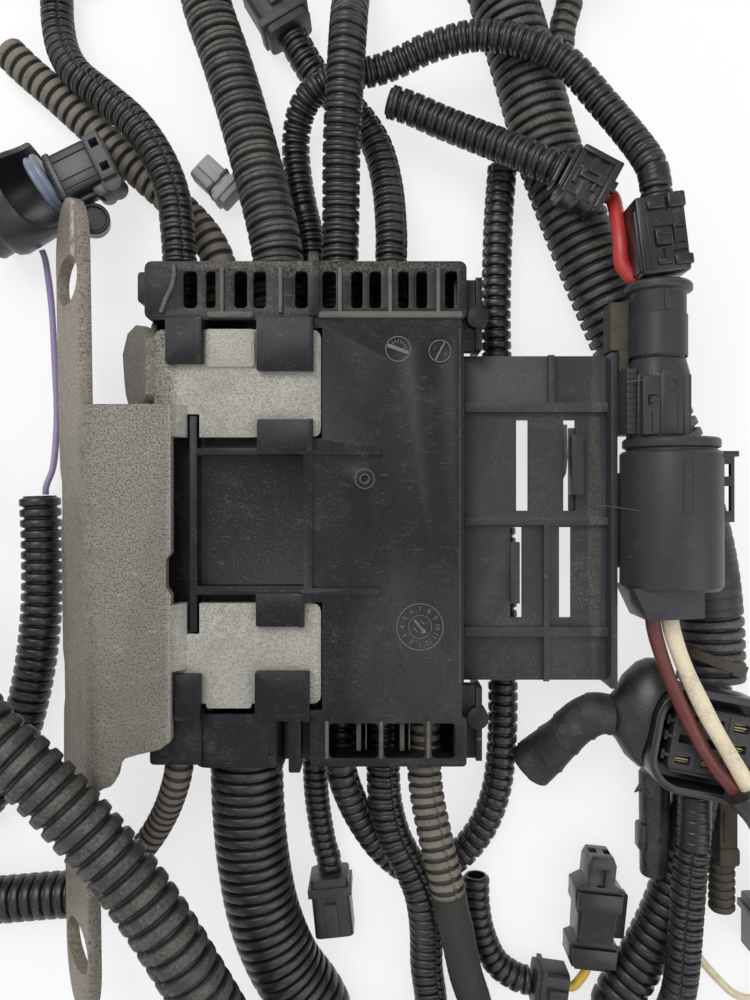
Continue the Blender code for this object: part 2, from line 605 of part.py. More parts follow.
def make_duct_base(material):
    outer = box((duct_left, duct_bottom, 0), (duct_right, duct_top, split_height), 3 * mm)
    inner = box((duct_left + wall, duct_bottom + wall, floor_thickness),
                (duct_right - wall, duct_top - wall, split_height + wall), 2 * mm)
    holder_left = duct_right + seat_gap
    holder = box((holder_left, holder_bottom, holder_height),
                 (holder_right + wall / 2, holder_top, holder_height + holder_thickness))
    flange = box((holder_right, holder_bottom - flange_tail, holder_flange_bottom),
                 (holder_right + holder_flange, holder_top, holder_flange_top))
    webs = [box((holder_left, holder_bottom, split_height - wall * 4),
                (holder_left + wall, holder_top, holder_height + holder_thickness)),
            box((duct_right - wall / 2, holder_bottom, split_height - wall * 4),
                (holder_left + wall / 2, holder_top, split_height))]
    rib_top = holder_height + holder_thickness + holder_rib
    for centre, width in holder_ribs:
        webs.append(box((holder_left, centre - width / 2, holder_height - holder_rib),
                        (holder_right + wall / 2, centre + width / 2, rib_top)))
    webs.append(box((upper_web[0], holder_ribs[0][0], holder_height - holder_rib),
                    (upper_web[1], holder_top, rib_top)))
    webs.append(box((lower_web[0], holder_bottom, holder_height - holder_rib),
                    (lower_web[1], holder_ribs[1][0], rib_top)))
    webs.append(box((holder_left, holder_bottom, holder_height - holder_rib),
                    (holder_right + wall / 2, holder_bottom + wall, holder_height + wall / 2)))
    webs.append(box((holder_left, holder_top - wall, holder_height - holder_rib),
                    (holder_right + wall / 2, holder_top, holder_height + wall / 2)))
    slots = []
    for centre_x, centre_y in slot_centres:
        slots.append(box((centre_x - slot_width / 2, centre_y - slot_length / 2, holder_height - wall),
                         (centre_x + slot_width / 2, centre_y + slot_length / 2, rib_top)))
    cuts = [inner] + exit_cutters(top_exits, duct_top - wall * 2, duct_top + wall)
    cuts += exit_cutters(bottom_exits + loop_return, duct_bottom - wall, duct_bottom + wall * 2)
    keeper_low = duct_top - chamber_depth
    keepers = []
    for across in keeper_centres:
        keepers.append(box((across - wall / 2, keeper_low, floor_thickness / 2),
                           (across + wall / 2, keeper_low + keeper_depth, keeper_height)))
    hooks = []
    for low_x, high_x, low_y, high_y, rise in bent_tongues:
        hooks.append(box((low_x, low_y, holder_height), (high_x, high_y, rib_top + rise)))
    return build_piece("duct_base", material, outer, [flange], cuts, [holder] + webs + keepers,
                       slots, hooks)


def window_row(spans, low_y, high_y):
    """Cutters for a row of round-cornered windows through the top of an end chamber."""
    cutters = []
    for low_x, high_x in spans:
        corner = min(1.6 * mm, (high_x - low_x) * 0.3)
        cutters.append(box((low_x, low_y, cover_height - wall * 2), (high_x, high_y, cover_height + wall),
                           corner))
    return cutters


def chamber_bodies(base_z, chamber_low, foot_high):
    """The raised panel, the end chambers, the low foot and the collar of the big branch."""
    return [
        box((panel_left, foot_high, base_z), (panel_right, chamber_low, cover_height), 1 * mm),
        box((duct_left, chamber_low - 1 * mm, base_z), (duct_right, duct_top, cover_height), 2.5 * mm),
        box((panel_left, duct_bottom, base_z), (duct_right, foot_high + 1 * mm, cover_height), 1.5 * mm),
        box((duct_left + foot_inset, duct_bottom, base_z),
            (foot_right, foot_high + 1 * mm, cover_height - foot_drop), 1.5 * mm),
        box((collar_left, duct_bottom - 1.6 * mm, base_z),
            (collar_right, foot_high + 1 * mm, cover_height - collar_drop), 5 * mm, "y"),
        box((link_left, duct_bottom, base_z), (panel_left + 1 * mm, foot_high + 1 * mm, shelf_height)),
    ]


def chamber_hollows(chamber_low, foot_high):
    """The hollow under each part of the cover, and the pockets that the two tongues slide into."""
    inner_low = split_height - wall
    pocket_low = tongue_height - sheet - tab_gap
    return [
        box((duct_left + wall, foot_high + wall, inner_low),
            (duct_right - wall, chamber_low - wall, shelf_height - wall)),
        box((tongue_end + wall * 2, foot_high + wall, inner_low),
            (panel_right - wall, chamber_low - wall, cover_height - wall)),
        box((panel_left - wall, upper_tongue[0] - tab_gap, pocket_low),
            (tongue_end + tab_gap, upper_tongue[1] + tab_gap, cover_height + wall)),
        box((panel_left - wall, lower_pad[2] - tab_gap, pocket_low),
            (tongue_end + tab_gap, lower_tongue[1] + tab_gap, cover_height + wall)),
        box((duct_left + wall, chamber_low - wall * 2, inner_low),
            (duct_right - wall, duct_top - wall, cover_height - wall)),
        box((panel_left + wall, duct_bottom + wall, inner_low),
            (duct_right - wall, foot_high + wall * 2, cover_height - wall)),
        box((duct_left + foot_inset + wall, duct_bottom + wall, inner_low),
            (foot_right - wall, foot_high + wall * 2, cover_height - foot_drop - wall)),
        box((collar_left + collar_wall, duct_bottom + wall, inner_low),
            (collar_right - collar_wall, foot_high + wall * 2, cover_height - collar_drop - collar_roof)),
    ]


def cover_ribs():
    """The ribs round the well, on the shelf and beside the tongues."""
    well_low = shelf_height - wall
    ribs = [box((well_left, left_rib[1], well_low), (left_rib[0], left_rib[2], cover_height + left_rib[3])),
            box((right_rib[0], right_rib[1], well_low),
                (well_right, right_rib[2], cover_height + right_rib[3]))]
    for low_y, high_y in well_ribs:
        ribs.append(box((well_left, low_y, well_low), (well_right, high_y, cover_height - well_rib_drop)))
    for low_y, high_y in shelf_ribs:
        ribs.append(box((shelf_rib_left, low_y, well_low),
                        (shelf_rib_right, high_y, cover_height + shelf_rib_rise)))
    for low_y, high_y in (upper_tongue, lower_tongue):
        for centre_x in pedestal_centres:
            ribs.append(box((centre_x - pedestal_half, low_y + pedestal_half, well_low),
                            (centre_x + pedestal_half, high_y - pedestal_half,
                             tongue_height - sheet - seat_gap)))
    return ribs


def clip_tab_bodies():
    """The tabs that lie over the tongues, each with its wall and a raised lip."""
    well_low = shelf_height - wall
    tab_low = tongue_height + tab_gap
    tab_high = tab_low + tab_thickness
    bodies = []
    for low_x, high_x, low_y, high_y, side in clip_tabs:
        bodies.append(box((low_x, low_y, tab_low), (high_x, high_y, tab_high), 0.8 * mm))
        wall_low = high_y - tab_wall if side > 0 else low_y
        bodies.append(box((low_x, wall_low, well_low), (high_x, wall_low + tab_wall, tab_high)))
        bodies.append(box((high_x - tab_lip, low_y, tab_low), (high_x, high_y, tab_high + tab_lip_rise)))
    return bodies


def latch_bodies(base_z, chamber_low, foot_high):
    """The latches at both ends and on the left, and the ring boss on the panel."""
    latch_low = shelf_height - tab_wall
    latch_right = duct_right + end_latch_reach
    pin_x = latch_right - latch_pin_inset
    bodies = []
    for edge_y, (low, high, pin) in zip((duct_top, duct_bottom), end_latches):
        bodies.append(box((panel_right - wall, edge_y + low, latch_low),
                          (latch_right, edge_y + high, shelf_height + 2 * mm), 1 * mm))
        bodies.append(box((latch_right - end_latch_post, edge_y + low, base_z),
                          (latch_right, edge_y + high, cover_height - end_latch_drop)))
        pin_top = cover_height - latch_pin_drop
        bodies.append(rod((pin_x, edge_y + pin, latch_low), (pin_x, edge_y + pin, pin_top), latch_pin, 16))
    bodies.append(box((top_latch[0], chamber_low, cover_height - 1 * mm),
                      (top_latch[1], duct_top + 3 * mm, cover_height + top_latch_rise), 0.8 * mm))
    bodies.append(box((foot_latch[0], duct_bottom - 2.4 * mm, latch_low),
                      (foot_latch[1], foot_high, cover_height - foot_latch_drop), 0.8 * mm))
    bodies.append(box((duct_left - left_latch_reach, duct_top - 14.5 * mm, shelf_height),
                      (duct_left + 1 * mm, duct_top - 3.4 * mm, cover_height - foot_drop), 1.2 * mm))
    ring_top = cover_height + ring_rise
    bodies.append(rod((*ring_centre, shelf_height), (*ring_centre, ring_top), ring_radius, 20))
    return bodies


def sunk_marks():
    """The date inserts, the dial and the bore of the ring boss, sunk into the panel."""
    ring_low = cover_height + ring_rise - ring_bore_depth
    dial_low = cover_height - dial_depth
    clear = cover_height + wall
    marks = [rod((*ring_centre, ring_low), (*ring_centre, clear), ring_bore, 20),
             rod((*dial_centre, dial_low), (*dial_centre, clear), dial_radius, 20)]
    for centre_x, centre_y, depth in inserts:
        marks.append(rod((centre_x, centre_y, cover_height - depth), (centre_x, centre_y, clear),
                         insert_radius, 20))
    return marks


def make_duct_cover(material):
    base_z = split_height + seat_gap
    chamber_low = duct_top - chamber_depth
    foot_high = duct_bottom + bottom_chamber_depth
    shell = box((duct_left, foot_high, base_z), (duct_right, chamber_low, shelf_height), 1.5 * mm)
    cuts = chamber_hollows(chamber_low, foot_high)
    cuts += exit_cutters(top_exits, duct_top - wall * 2, duct_top + wall)
    cuts += exit_cutters(bottom_exits + loop_return, duct_bottom - wall * 2, foot_high + wall * 2)
    cuts += window_row(top_windows, duct_top - top_window_reach, duct_top - top_window_edge)
    cuts += window_row(low_windows, duct_bottom + low_window_edge, duct_bottom + low_window_reach)
    cuts += window_row(collar_windows, duct_bottom + low_window_edge, duct_bottom + collar_window_reach)
    ribs = cover_ribs() + clip_tab_bodies() + latch_bodies(base_z, chamber_low, foot_high)
    return build_piece("duct_cover", material, shell, chamber_bodies(base_z, chamber_low, foot_high), cuts,
                       ribs, sunk_marks())


def lean_point(u, v, depth, shift=0.0):
    """A point of the leaning flange: u down the sheet, v along Y and depth into its thickness."""
    turn = radians(flange_lean)
    outer = bend_inner + sheet
    start_x = bend_centre_x - outer * cos(turn)
    start_z = plate_height - outer + outer * sin(turn)
    x = start_x - u * sin(turn) + depth * cos(turn) + shift * (plate_top - v)
    z = start_z - u * cos(turn) - depth * sin(turn)
    return Vector((x, v, z))


def leaning_slab(outline, thickness, skew=flange_skew):
    bm = bmesh.new()
    faces = []
    for depth in (0.0, thickness):
        faces.append([bm.verts.new(lean_point(u, v, depth, skew)) for u, v in outline])
    bm.faces.new(faces[0])
    bm.faces.new(reversed(faces[1]))
    count = len(outline)
    for i in range(count):
        j = (i + 1) % count
        bm.faces.new((faces[0][i], faces[0][j], faces[1][j], faces[1][i]))
    return bm


def make_bracket(material):
    half = ear_depth / 2
    outline = []
    for step in range(13):
        angle = pi * step / 12
        outline.append((half - half * cos(angle), ear_top_end - ear_round + ear_round * sin(angle)))
    outline.append((ear_depth, ear_root_top))
    outline.append((flange_depth + 1 * mm, flange_root_top))
    for high_y, low_y, depth in flange_notches:
        outline.append((flange_depth, high_y))
        outline.append((flange_depth - depth, high_y - notch_slope))
        outline.append((flange_depth - depth, low_y + notch_slope))
        outline.append((flange_depth, low_y))
    outline.append((ear_depth, ear_root_bottom))
    for step in range(13):
        angle = pi * step / 12
        outline.append((half + half * cos(angle), ear_bottom_end + ear_round - ear_round * sin(angle)))
    first = leaning_slab(outline, sheet)

    turn = radians(flange_lean)
    outer = bend_inner + sheet
    centre = (bend_centre_x, plate_height - outer)
    section = [(bend_centre_x + 3 * mm, plate_height - sheet), (bend_centre_x + 3 * mm, plate_height)]
    arc_steps = 8
    sweep = pi / 2 - turn
    inset = 0.03 * mm
    for step in range(arc_steps + 1):
        angle = pi / 2 + sweep * step / arc_steps
        section.append((centre[0] + outer * cos(angle), centre[1] + outer * sin(angle)))
    section.append(tuple(lean_point(2 * mm, 0, inset)[i] for i in (0, 2)))
    section.append(tuple(lean_point(2 * mm, 0, sheet - inset)[i] for i in (0, 2)))
    for step in range(arc_steps, -1, -1):
        angle = pi / 2 + sweep * step / arc_steps
        section.append((centre[0] + bend_inner * cos(angle), centre[1] + bend_inner * sin(angle)))
    bend = prism(section, bend_bottom, plate_top, "y")
    for vert in bend.verts:
        if vert.co.x < bend_centre_x + 1 * mm:
            vert.co.x += flange_skew * (plate_top - vert.co.y)

    notch_high, notch_low, notch_depth = plate_notch
    edge = [(bend_centre_x + 2 * mm, plate_top), (plate_right, plate_top), (plate_right, notch_high),
            (plate_right - notch_depth, notch_high - 2.2 * mm),
            (plate_right - notch_depth, notch_low + 2.4 * mm),
            (plate_right, notch_low), (plate_right, plate_bottom)]
    for back, drop in ((3.8, 2.9), (11.5, 4.7), (16.2, 6.1), (18.4, 8.7), (19.2, 12.5), (21.1, 15.9)):
        edge.append((plate_right - back * mm, plate_bottom - drop * mm))
    edge.append((bend_centre_x + 2 * mm, bend_bottom))
    plate = prism(edge, plate_height - sheet, plate_height)
    adds = [bend, plate]
    drop = tongue_height
    joins = ((upper_tongue, upper_tongue[0], plate_top),
             (lower_tongue, lower_tongue[0] + 12.5 * mm, lower_tongue[1]))
    for (low_y, high_y), join_low, join_high in joins:
        joggle = [(plate_right - 5 * mm, plate_height), (plate_right, plate_height),
                  (plate_right + joggle_length, drop), (plate_right + 7 * mm, drop),
                  (plate_right + 7 * mm, drop - sheet), (plate_right + 1.5 * mm, drop - sheet),
                  (plate_right - 3 * mm, plate_height - sheet - 0.1 * mm)]
        adds.append(prism(joggle, join_low, join_high, "y"))
        left = plate_right - 7.4 * mm if low_y > 0 else plate_right - 2 * mm
        adds.append(box((left, low_y, drop - sheet), (tongue_end, high_y, drop), 3 * mm))
    adds.append(box((upper_pad[0], upper_pad[2], drop - 1 * mm),
                    (upper_pad[1], upper_pad[3], drop + pad_rise), 1 * mm))
    adds.append(box((lower_pad[0], lower_pad[2], drop - sheet), (lower_pad[1], lower_pad[3], drop), 1 * mm))

    tab = [(0, 35 * mm), (-3 * mm, 38 * mm), (-3 * mm, 58 * mm), (1 * mm, 62.5 * mm), (8 * mm, 64.6 * mm),
           (18 * mm, 63 * mm), (24 * mm, 56 * mm), (22 * mm, 46 * mm), (20 * mm, 40 * mm),
           (16 * mm, 35 * mm)]
    rear = leaning_slab(tab, rear_tab_thickness, 0.0)
    origin = lean_point(0, 0, 0)
    bmesh.ops.translate(rear, vec=(rear_tab_place[0] - origin.x, 0, rear_tab_place[1] - origin.z),
                        verts=rear.verts)
    adds.append(rear)

    holes = []
    normal = lean_point(half, 0, 1) - lean_point(half, 0, 0)
    for centre_y in (top_hole_y, bottom_hole_y):
        middle = lean_point(half, centre_y, sheet / 2, flange_skew)
        slot = rod((0, 0, -sheet * 1.8), (0, 0, sheet * 1.8), ear_hole / 2, 24)
        bmesh.ops.scale(slot, vec=(1.0, ear_hole_length / ear_hole, 1.0), verts=slot.verts)
        holes.append(aim(slot, middle, normal, "Y"))
    for low_y, high_y in tongue_holes:
        holes.append(box((tongue_hole_span[0], low_y, drop - sheet - wall),
                         (tongue_hole_span[1], high_y, plate_height)))
    return build_piece("bracket", material, first, adds, holes)


def make_round_connector(black, dark):
    """The socket, plug, collar and barrel that stand in line on the holder's flange."""
    def along(profile, name, material, late_adds=(), cuts=(), axis_x=barrel_x):
        bm = turned(profile, 28)
        aim(bm, (axis_x, 0, barrel_z), (0, 1, 0), "X")
        item = place(name, bm, material)
        carve(item, "UNION", list(late_adds))
        carve(item, "DIFFERENCE", list(cuts))
        return smooth(item)

    top = barrel_top
    low = top - barrel_length
    fin_x = barrel_x + barrel_radius
    fin_edge = fin_x + fin_reach
    foot_x = holder_right + holder_flange + seat_gap
    cup = [(barrel_x - cup_left, low + 1 * mm), (barrel_x + cup_right, low + 1 * mm),
           (barrel_x + cup_right, low - cup_length + 1 * mm), (barrel_x - cup_left_end, low - cup_length)]
    cup_hole = [(barrel_x - cup_left + cup_wall * 3, low + cup_wall * 2),
                (barrel_x + cup_right - cup_wall, low + cup_wall * 2),
                (barrel_x + cup_right - cup_wall, low - cup_length - 1 * mm),
                (barrel_x - cup_left_end + cup_wall, low - cup_length - 1 * mm)]
    hole_half = cup_half_height - cup_wall
    adds = [box((fin_x - 4 * mm, top - fin_length, barrel_z - 1.2 * mm),
                (fin_edge, top, barrel_z + 1.2 * mm)),
            box((fin_x - 3 * mm, top - 2 * mm, barrel_z - 5 * mm), (fin_edge, top, barrel_z + 5 * mm)),
            box((foot_x, top - 42.5 * mm, barrel_z - 13 * mm),
                (barrel_x - 6 * mm, top - 7.5 * mm, barrel_z - 6 * mm), 1 * mm),
            prism(cup, barrel_z - cup_half_height, barrel_z + cup_half_height)]
    cuts = [rod((barrel_x, low + barrel_floor, barrel_z), (barrel_x, low + barrel_cavity, barrel_z),
                barrel_radius - barrel_wall, 28),
            prism(cup_hole, barrel_z - hole_half, barrel_z + hole_half)]
    for low_y, high_y in ((top - 9 * mm, top - 4.5 * mm), (top - 21.5 * mm, top - 12.5 * mm)):
        cuts.append(box((fin_x + 0.6 * mm, low_y, barrel_z - 6 * mm),
                        (fin_edge - 1.2 * mm, high_y, barrel_z + 6 * mm)))
    r = barrel_radius
    along([(0, low), (r * 0.94, low), (r, low + 1.4 * mm), (r, top - 1 * mm), (r - 1 * mm, top),
           (r * 0.88, top), (r * 0.88, top + 0.8 * mm), (r * 0.95, top + 1.4 * mm),
           (r * 0.95, top + collar_rise - 0.8 * mm), (r * 0.91, top + collar_rise), (0, top + collar_rise)],
          "barrel", black, adds, cuts)
    plug_low = top + collar_rise + seat_gap
    plug_high = plug_low + plug_length
    pr = plug_radius
    ribs = []
    for turn_deg in range(35, 180, 22):
        direction = Vector((cos(radians(turn_deg)), 0, sin(radians(turn_deg))))
        base = Vector((socket_x, plug_low + 1 * mm, barrel_z)) + direction * (pr - 0.6 * mm)
        ribs.append(rod(base, base + Vector((0, plug_length * 0.75, 0)), 1.1 * mm, 8))
    along([(0, plug_low), (pr, plug_low), (pr, plug_high - 6 * mm), (pr * 0.86, plug_high), (0, plug_high)],
          "socket_plug", dark, ribs, (), socket_x)
    mouth_low = plug_high + seat_gap
    mouth_high = mouth_low + socket_length
    sr = socket_radius
    hollow = rod((socket_x, mouth_high - socket_mouth_depth, barrel_z),
                 (socket_x, mouth_high + 1 * mm, barrel_z), sr - socket_wall, 28)
    along([(0, mouth_low), (sr * 0.93, mouth_low), (sr, mouth_low + 5 * mm), (sr, mouth_high - 4 * mm),
           (sr * 1.22, mouth_high - 3 * mm), (sr * 1.22, mouth_high - 1 * mm), (sr * 1.12, mouth_high),
           (0, mouth_high)], "socket_sleeve", black, [], [hollow], socket_x)


def posed(bodies, centre, turn_deg, tilt_deg=0.0):
    """Bodies modelled round the origin, tilted about Y, turned about Z and moved to their place."""
    matrix = (Matrix.Translation(Vector(centre)) @ Matrix.Rotation(radians(turn_deg), 4, "Z")
              @ Matrix.Rotation(radians(tilt_deg), 4, "Y"))
    for bm in bodies:
        bmesh.ops.transform(bm, matrix=matrix, verts=bm.verts)
    return bodies


def clamp(name, material, centre, length, width, height, turn_deg, tilt_deg, bore):
    """A box clamp that closes a conduit's end, with ribs, a bore and a latch."""
    first = box((-length / 2, -width / 2, -height / 2), (length / 2, width / 2, height / 2), 1.2 * mm, "x")
    adds = []
    for share in (-0.34, 0.0, 0.34):
        adds.append(box((length * share - 0.9 * mm, -width / 2 - 0.8 * mm, -height / 2 - 0.6 * mm),
                        (length * share + 0.9 * mm, width / 2 + 0.8 * mm, height / 2 + 0.8 * mm)))
    adds.append(box((-length * 0.2, -2 * mm, height / 2 - 1 * mm),
                    (length * 0.62, 2 * mm, height / 2 + 1.8 * mm)))
    cuts = [rod((-length, 0, 0), (-length / 2 + 6 * mm, 0, 0), bore, 20),
            box((-length * 0.1, -1 * mm, height / 2 + 0.4 * mm),
                (length * 0.2, 1 * mm, height / 2 + 4 * mm))]
    posed([first] + adds + cuts, centre, turn_deg, tilt_deg)
    return build_piece(name, material, first, adds, cuts)


def plug_block(name, material, centre, size, turn_deg=0.0, sockets=2):
    """A connector body along its own X, with a seal collar at the back and terminal pockets in front."""
    length, width, height = size
    first = box((-length / 2, -width / 2, -height / 2), (length / 2, width / 2, height / 2),
                min(width, height) * 0.16, "x")
    step = width / (sockets + 0.4)
    adds = [box((-length * 0.36, -width / 2 - 0.9 * mm, -height / 2 + 0.3 * mm),
                (-length * 0.22, width / 2 + 0.9 * mm, height / 2 + 0.9 * mm)),
            box((-length * 0.1, -width * 0.14, height / 2 - 1 * mm),
                (length * 0.46, width * 0.14, height / 2 + 1.8 * mm))]
    cuts = []
    for number in range(sockets):
        offset = (number - (sockets - 1) / 2) * step
        cuts.append(box((length / 2 - 4 * mm, offset - step * 0.32, -height * 0.26),
                        (length / 2 + 2 * mm, offset + step * 0.32, height * 0.2)))
    posed([first] + adds + cuts, centre, turn_deg)
    return build_piece(name, material, first, adds, cuts)


def make_boot_connector(black, grey, dark):
    """The two-way plug in its round rubber boot with a scalloped mouth, on the floor behind the top ear."""
    radius = boot_radius
    direction = Vector((cos(radians(boot_turn)), sin(radians(boot_turn)), 0))
    side = Vector((-direction.y, direction.x, 0))
    mouth = Vector((boot_mouth_x, boot_mouth_y, radius + seat_gap))
    back = mouth - direction * boot_length
    shell = turned([(0, 0), (radius - 4 * mm, 0), (radius - 3 * mm, 1.2 * mm), (radius - 3 * mm, 6 * mm),
                    (radius - 1 * mm, 7.4 * mm), (radius, 10 * mm), (radius, boot_length - 1 * mm),
                    (radius - 0.8 * mm, boot_length), (0, boot_length)], 28)
    aim(shell, back, direction, "Y")
    item = place("boot_shell", shell, black)
    cavity = rod(mouth - direction * boot_cavity, mouth + direction * 2 * mm, radius - boot_wall, 28)
    scallop_centre = mouth + Vector((0, 0, boot_scallop_rise))
    scallop = rod(scallop_centre - side * radius * 1.4, scallop_centre + side * radius * 1.4,
                  boot_scallop_radius, 28)
    carve(item, "DIFFERENCE", [cavity, scallop])
    smooth(item)
    outer = seal_radius
    seal = turned([(0, 0), (outer - 1 * mm, 0), (outer, 0.8 * mm), (outer, 1.8 * mm),
                   (outer - 0.7 * mm, 2.6 * mm), (outer, 3.4 * mm), (outer, 4.6 * mm),
                   (outer - 1 * mm, seal_length), (0, seal_length)], 28)
    aim(seal, mouth - direction * seal_length, direction, "Y")
    smooth(place("boot_seal", seal, grey))
    centre = mouth + direction * (boot_plug_length / 2 + seat_gap)
    centre.z += boot_plug_rise
    size = (boot_plug_length, boot_plug_width, boot_plug_height)
    plug_block("boot_plug", dark, centre, size, boot_turn, 2)


def oval_outline(grow):
    """The oval connector's rounded outline, turned as it lies."""
    corner = oval_corner + grow
    turn = radians(oval_turn)
    points = []
    for quarter, (side_x, side_y) in enumerate(((1, 1), (-1, 1), (-1, -1), (1, -1))):
        centre_x = side_x * (oval_half_x - oval_corner)
        centre_y = side_y * (oval_half_y - oval_corner)
        for step in range(10):
            angle = pi / 2 * (quarter + step / 9)
            x = centre_x + corner * cos(angle)
            y = centre_y + corner * sin(angle)
            points.append((oval_x + x * cos(turn) - y * sin(turn), oval_y + x * sin(turn) + y * cos(turn)))
    return points


def make_oval_connector(black, dark):
    """The wide multi-way connector, mouth up, with its flared boot toward the taped branch."""
    item = place("oval_shell", prism(oval_outline(0), oval_low, oval_high), black)
    carve(item, "DIFFERENCE", [prism(oval_outline(-oval_wall), oval_low + wall, oval_high + wall)])
    smooth(item)
    core_low = oval_low + wall + seat_gap
    core_high = oval_high - core_drop
    first = box((-core_half_x, -core_half_y, core_low), (core_half_x, core_half_y, core_high), 3 * mm)
    pockets = []
    for row in (-1, 0, 1):
        for column in (-1, 0, 1):
            x = column * pocket_step_x
            y = row * pocket_step_y
            pockets.append(box((x - pocket_half_x, y - pocket_half_y, core_high - pocket_depth),
                               (x + pocket_half_x, y + pocket_half_y, core_high + wall)))
    posed([first] + pockets, (oval_x, oval_y, 0), oval_turn)
    build_piece("oval_core", dark, first, [], pockets)
    boot = turned([(0, 0), (8 * mm, 0), (9.4 * mm, 1.4 * mm), (15.5 * mm, 5 * mm), (20 * mm, 10 * mm),
                   (21.6 * mm, 14 * mm), (21.6 * mm, 20 * mm), (0, 20 * mm)], 28)
    bmesh.ops.scale(boot, vec=(oval_boot_squash, 1.0, 1.0), verts=boot.verts)
    bmesh.ops.rotate(boot, cent=(0, 0, 0), matrix=Matrix.Rotation(pi / 2, 3, "Y"), verts=boot.verts)
    bmesh.ops.translate(boot, vec=(oval_boot_left, oval_boot_y, oval_boot_z), verts=boot.verts)
    item = place("oval_boot", boot, black)
    carve(item, "DIFFERENCE", [prism(oval_outline(seat_gap), oval_low - 30 * mm, oval_high + 30 * mm)])
    smooth(item)


def make_small_plug(material):
    """The two-wire plug: a slotted nose, shoulders, a body with a side latch and a flared rim."""
    high = small_plug_height / 2
    outline = [(small_plug_front - 1 * mm, nose_half - 1.4 * mm), (small_plug_front - 4 * mm, nose_half),
               (shoulder_front + 0.6 * mm, nose_half), (shoulder_front - 2 * mm, shoulder_half),
               (shoulder_back, shoulder_half - 0.8 * mm), (shoulder_back - 2 * mm, small_body_half),
               (rim_front, small_body_half - 0.6 * mm), (rim_front - 1.4 * mm, rim_half),
               (rim_back + 3 * mm, rim_half - 0.6 * mm), (rim_back, rim_half - 3 * mm)]
    mirrored = [(x, -y) for x, y in reversed(outline)]
    first = prism(outline + mirrored, -high + nose_drop, high - nose_drop)
    adds = [box((shoulder_back, -shoulder_half + 1 * mm, -high),
                (shoulder_front - 3 * mm, shoulder_half - 1 * mm, high)),
            box((rim_back + 2 * mm, -rim_half + 1 * mm, -high),
                (rim_front - 2 * mm, rim_half - 1 * mm, high)),
            box((rim_front, -small_body_half + 1 * mm, -high + 0.8 * mm),
                (shoulder_back + 1 * mm, small_body_half - 1 * mm, high - 0.8 * mm)),
            box((rim_front + 1 * mm, -small_body_half - side_latch_reach, -2.4 * mm),
                (shoulder_front - 4 * mm, -small_body_half + 0.5 * mm, 2.4 * mm), 1 * mm)]
    cuts = [box((shoulder_front - 1 * mm, -1.6 * mm, high - nose_drop - 1.6 * mm),
                (small_plug_front - 6 * mm, 1.6 * mm, high))]
    for side in (-1, 1):
        cuts.append(box((small_plug_front - 5 * mm, side * nose_half * 0.5 - 1.5 * mm, -2.6 * mm),
                        (small_plug_front + 1 * mm, side * nose_half * 0.5 + 1.5 * mm, 2 * mm)))
    posed([first] + adds + cuts, small_plug_place, small_plug_turn)
    return build_piece("small_plug", material, first, adds, cuts)


def make_wire_loom(material):
    bm = box((loom_left, loom_bottom, floor_thickness + seat_gap), (loom_right, loom_top, loom_height),
             loom_corner)
    level = [edge for edge in bm.edges if abs(edge.verts[0].co.z - edge.verts[1].co.z) < mm]
    bmesh.ops.bevel(bm, geom=level, offset=loom_edge, segments=2, profile=0.5, affect="EDGES")
    smooth(place("wire_loom", bm, material))


def make_end_plugs(black):
    """Plugs that take up the branches' ends, just past the view."""
    for name, (x, y, height, width, turn_deg, ways) in end_plugs.items():
        turn = radians(turn_deg)
        centre = (x + cos(turn) * end_plug_depth / 2, y + sin(turn) * end_plug_depth / 2,
                  height / 2 + end_plug_floor)
        plug_block(name, black, centre, (end_plug_depth, width, height), turn_deg, ways)


clear_scene()
black_plastic = make_material("black_plastic", (0.018, 0.018, 0.02), 0.5)
dark_plastic = make_material("dark_plastic", (0.03, 0.031, 0.033), 0.6)
conduit_black = make_material("conduit_black", (0.014, 0.014, 0.015), 0.45)
tape_black = make_material("tape_black", (0.012, 0.012, 0.012), 0.7)
bracket_steel = make_material("bracket_steel", (0.33, 0.31, 0.27), 0.55, 0.7)
rubber_grey = make_material("rubber_grey", (0.11, 0.12, 0.15), 0.5)
grey_plastic = make_material("grey_plastic", (0.34, 0.35, 0.36), 0.5)
wire_red = make_material("wire_red", (0.5, 0.02, 0.02), 0.4)
wire_cream = make_material("wire_cream", (0.72, 0.66, 0.5), 0.45)
wire_brown = make_material("wire_brown", (0.2, 0.03, 0.025), 0.45)
wire_purple = make_material("wire_purple", (0.2, 0.17, 0.42), 0.45)
wire_yellow = make_material("wire_yellow", (0.6, 0.52, 0.12), 0.45)

make_duct_base(black_plastic)
make_duct_cover(black_plastic)
make_bracket(bracket_steel)
make_wire_loom(tape_black)
make_round_connector(black_plastic, dark_plastic)
for clamp_name, (centre, length, width, height, turn_deg, bore) in clamps.items():
    clamp(clamp_name, black_plastic, centre, length, width, height, turn_deg, 0, bore)
make_boot_connector(black_plastic, rubber_grey, dark_plastic)
make_oval_connector(black_plastic, dark_plastic)
make_small_plug(black_plastic)
plug_materials = {"end_cap": dark_plastic, "thin_plug": black_plastic, "grey_plug": grey_plastic,
                  "box_plug": dark_plastic}
for plug_name, (centre, size, turn_deg, ways) in plugs.items():
    plug_block(plug_name, plug_materials[plug_name], centre, size, turn_deg, ways)
make_end_plugs(black_plastic)

cord_materials = {"branch_taped": tape_black, "wire_red": wire_red, "wire_cream": wire_cream,
                  "wire_brown": wire_brown, "wire_purple": wire_purple, "wire_pair": wire_yellow,
                  "wire_thin": tape_black, "wire_sleeve": tape_black}
for cord_name in routes:
    make_cord(cord_name, cord_materials.get(cord_name, conduit_black))
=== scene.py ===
import bpy
import bmesh
import numpy as np
from math import cos, sin, pi, radians, hypot
from mathutils import Vector, Matrix


